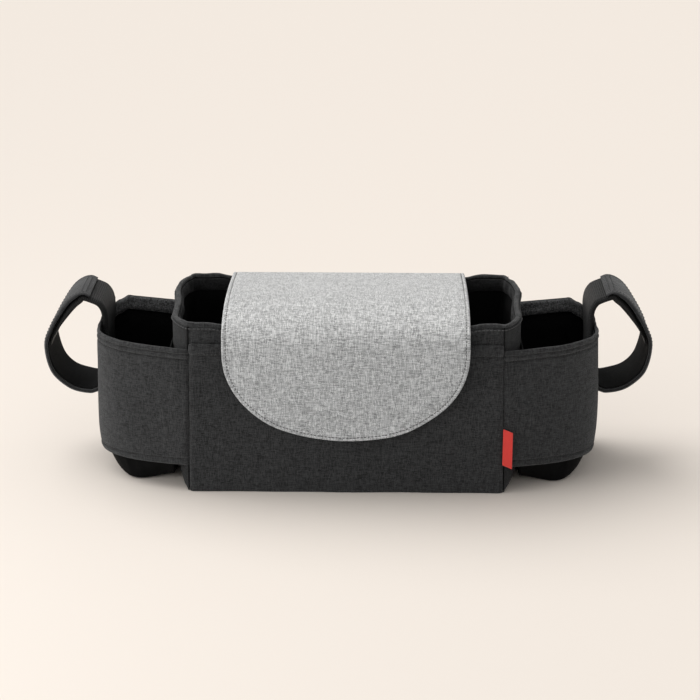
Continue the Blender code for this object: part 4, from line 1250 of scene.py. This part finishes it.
def flat_tape(name, side, line, near, far, edge, cloth, crown, roll, seed, wobble=0.0004):
    """A flat strap along a line. Its columns go across along Y, an edge in from the strap's own, and its
    outer face is crowned between rolled edges."""
    v = np.linspace(0, 1, 41)
    width = STRAP_WIDTH - 2 * edge
    across = STRAP_FRONT + edge + width * v
    rise = crown * rounded_edge(np.minimum(v, 1 - v) * width, roll) - crown
    along = arc(line)[:, None]
    wave = wobble * ripple(along, across * 0.7, 0.03, seed)
    line_near, line_far = move_aside(line, near), move_aside(line, far)
    out = unit(line_near - line_far)
    y = across + 0.0004 * ripple(along, 0 * along, 0.05, seed + 1)

    def face(base, lift):
        """One face of the strap, lifted along the outward direction."""
        moved = base[:, None] + out[:, None] * lift[:, :, None]
        return spots(side * moved[:, :, 0], y, moved[:, :, 1])

    outer = face(line_near, rise + wave)
    return cloth_sheet(name, outer, face(line_far, wave), cloth), outer, out


def webbing_material():
    """Black polypropylene webbing: round ribs across it, broken by finer yarns, with a soft shine."""
    made, tree, shader = new_material("ribbed_webbing", {"Roughness": 0.55, "Specular IOR Level": 0.3})
    cloth = cloth_place(tree)
    split = shader_node(tree, "SeparateXYZ", {0: cloth}).outputs
    rib = math_node(tree, "SINE", math_node(tree, "MULTIPLY", split[1], 2 * math.pi / RIB_PITCH))
    yarn = math_node(tree, "SINE", math_node(tree, "MULTIPLY", split[0], 2 * math.pi / YARN_PITCH))
    height = math_node(tree, "MULTIPLY_ADD", yarn, 0.3, rib)
    drift = shader_node(tree, "TexNoise", {"Vector": cloth, "Scale": 900.0})
    shade = math_node(tree, "MULTIPLY_ADD", height, 0.3, drift.outputs["Fac"])
    paint(tree, shader, shade, (0.004, 0.004, 0.004), (0.020, 0.020, 0.020), height, 0.8, 0.0005)
    return made


webbing = webbing_material()
strap_canvas = heather_cloth("strap_canvas", STRAP_DARK, STRAP_LIGHT, 0.0007, 0.0014, 0.8, 0.2, 0.4, 0.30)


def webbing_line(contour, lift):
    """The webbing's outer face: up inside the cup, over the sleeve's rim, then along under the free end."""
    under = move_aside(contour, HOOK_OUT * flattening(contour))
    along = arc(under)
    at = np.linspace(1 - OVERLAP / arc(contour)[-1], 1, 12) * along[-1]
    under = read(under, along, at)[::-1]
    rise = np.array(WEBBING_RISE)
    rise[:, 1] += lift * ease((rise[:, 1] - rise[0, 1]) / 0.04)
    return smooth_curve(np.concatenate([rise, under[1:]]), 130)


def strap_loop(word, side):
    """Canvas strap, its lining of loop tape, the hook tape under its free end, and the webbing beneath."""
    lift = RIGHT_LIFT if side > 0 else 0.0
    contour = strap_contour(lift)
    length = float(arc(contour)[-1])
    line = resample(contour, 150)
    press = flattening(line)
    strap, face, out = flat_tape(
        f"{word}_strap_cloth", side, line, 0.0, STRAP * press, 0.0, strap_canvas, 0.0009, 0.0022, 101)
    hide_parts(f"{word}_strap")
    tape = flat_tape(
        f"{word}_strap_loop_tape", side, line, (TAPE_OUT + LAYER_GAP) * press, (TAPE_IN - LAYER_GAP) * press,
        0.002, loop_tape, 0.0002, 0.002, 103)[0]
    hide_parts(f"{word}_strap_lining")
    share = np.linspace(1 - 0.85 * OVERLAP / length, 1 - 0.1 * OVERLAP / length, 30)
    hook_line = read(contour, np.linspace(0, 1, len(contour)), share)
    hook_press = np.interp(share, np.linspace(0, 1, len(press)), press)
    hook = flat_tape(
        f"{word}_strap_hook_tape", side, hook_line, HOOK_OUT * hook_press, (TAPE_OUT + LAYER_GAP) * hook_press,
        0.004, hook_tape, 0.0001, 0.002, 105, wobble=0.0)[0]
    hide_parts(f"{word}_strap_hook")
    web = webbing_line(contour, lift)
    reach = arc(web)
    thickness = WEBBING * (0.25 + 0.75 * ease((reach[-1] - reach) / 0.042))
    end = flat_tape(
        f"{word}_webbing_end", side, web, 0.0, -thickness, 0.001, webbing, 0.0004, 0.0012, 107, wobble=0.0)[0]
    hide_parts(f"{word}_strap_webbing")
    outward = spots(side * out[:, 0], 0.0, out[:, 1])
    rows = np.arange(4, len(line) - 3)
    paths = [(face[rows, column], outward[rows]) for column in (3, -4)]
    paths += [(face[-back, 3:-3], np.tile(outward[-back], (face.shape[1] - 6, 1))) for back in (5, 9)]
    sew(f"{word}_strap_stitching", paths, dark_thread)


for word, side in (("left", -1), ("right", 1)):
    strap_loop(word, side)


# Side tag: a bare red ribbon, folded double and caught in the right front seam.
# Its top and bottom slant down, away from the seam, as the ribbon was cut.

TAG_WIDTH = 0.0072
TAG_HEIGHT = 0.031
TAG_LOW = 0.0262
TAG_SLANT = 0.003
RED = (1.0, 0.055, 0.040)
red_ribbon = twill_cloth("red_ribbon", [0.82 * c for c in RED], RED, 0.0004, 0.3,
                         {"Roughness": 0.6, "Sheen Weight": 0.2})


def side_tag():
    """A thin folded tab with a little curl, y = curl u^2; its top and bottom slant down by 3 mm."""
    u = np.linspace(0, 1, 22)[None, :]
    v = np.linspace(0, 1, 40)[:, None]
    x = seam_x(0.040) + TAG_WIDTH * u + 0 * v
    z = TAG_LOW + TAG_HEIGHT * v - TAG_SLANT * u
    y = FRONT_Y - 0.0028 - (0.0005 * u**2 + 0.0003 * np.sin(3 * v + 1) * u)
    piece = cloth_sheet("red_tag", spots(x, y - 0.0010, z), spots(x, y, z), red_ribbon, roundness=0.4)
    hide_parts("side_tag")


side_tag()
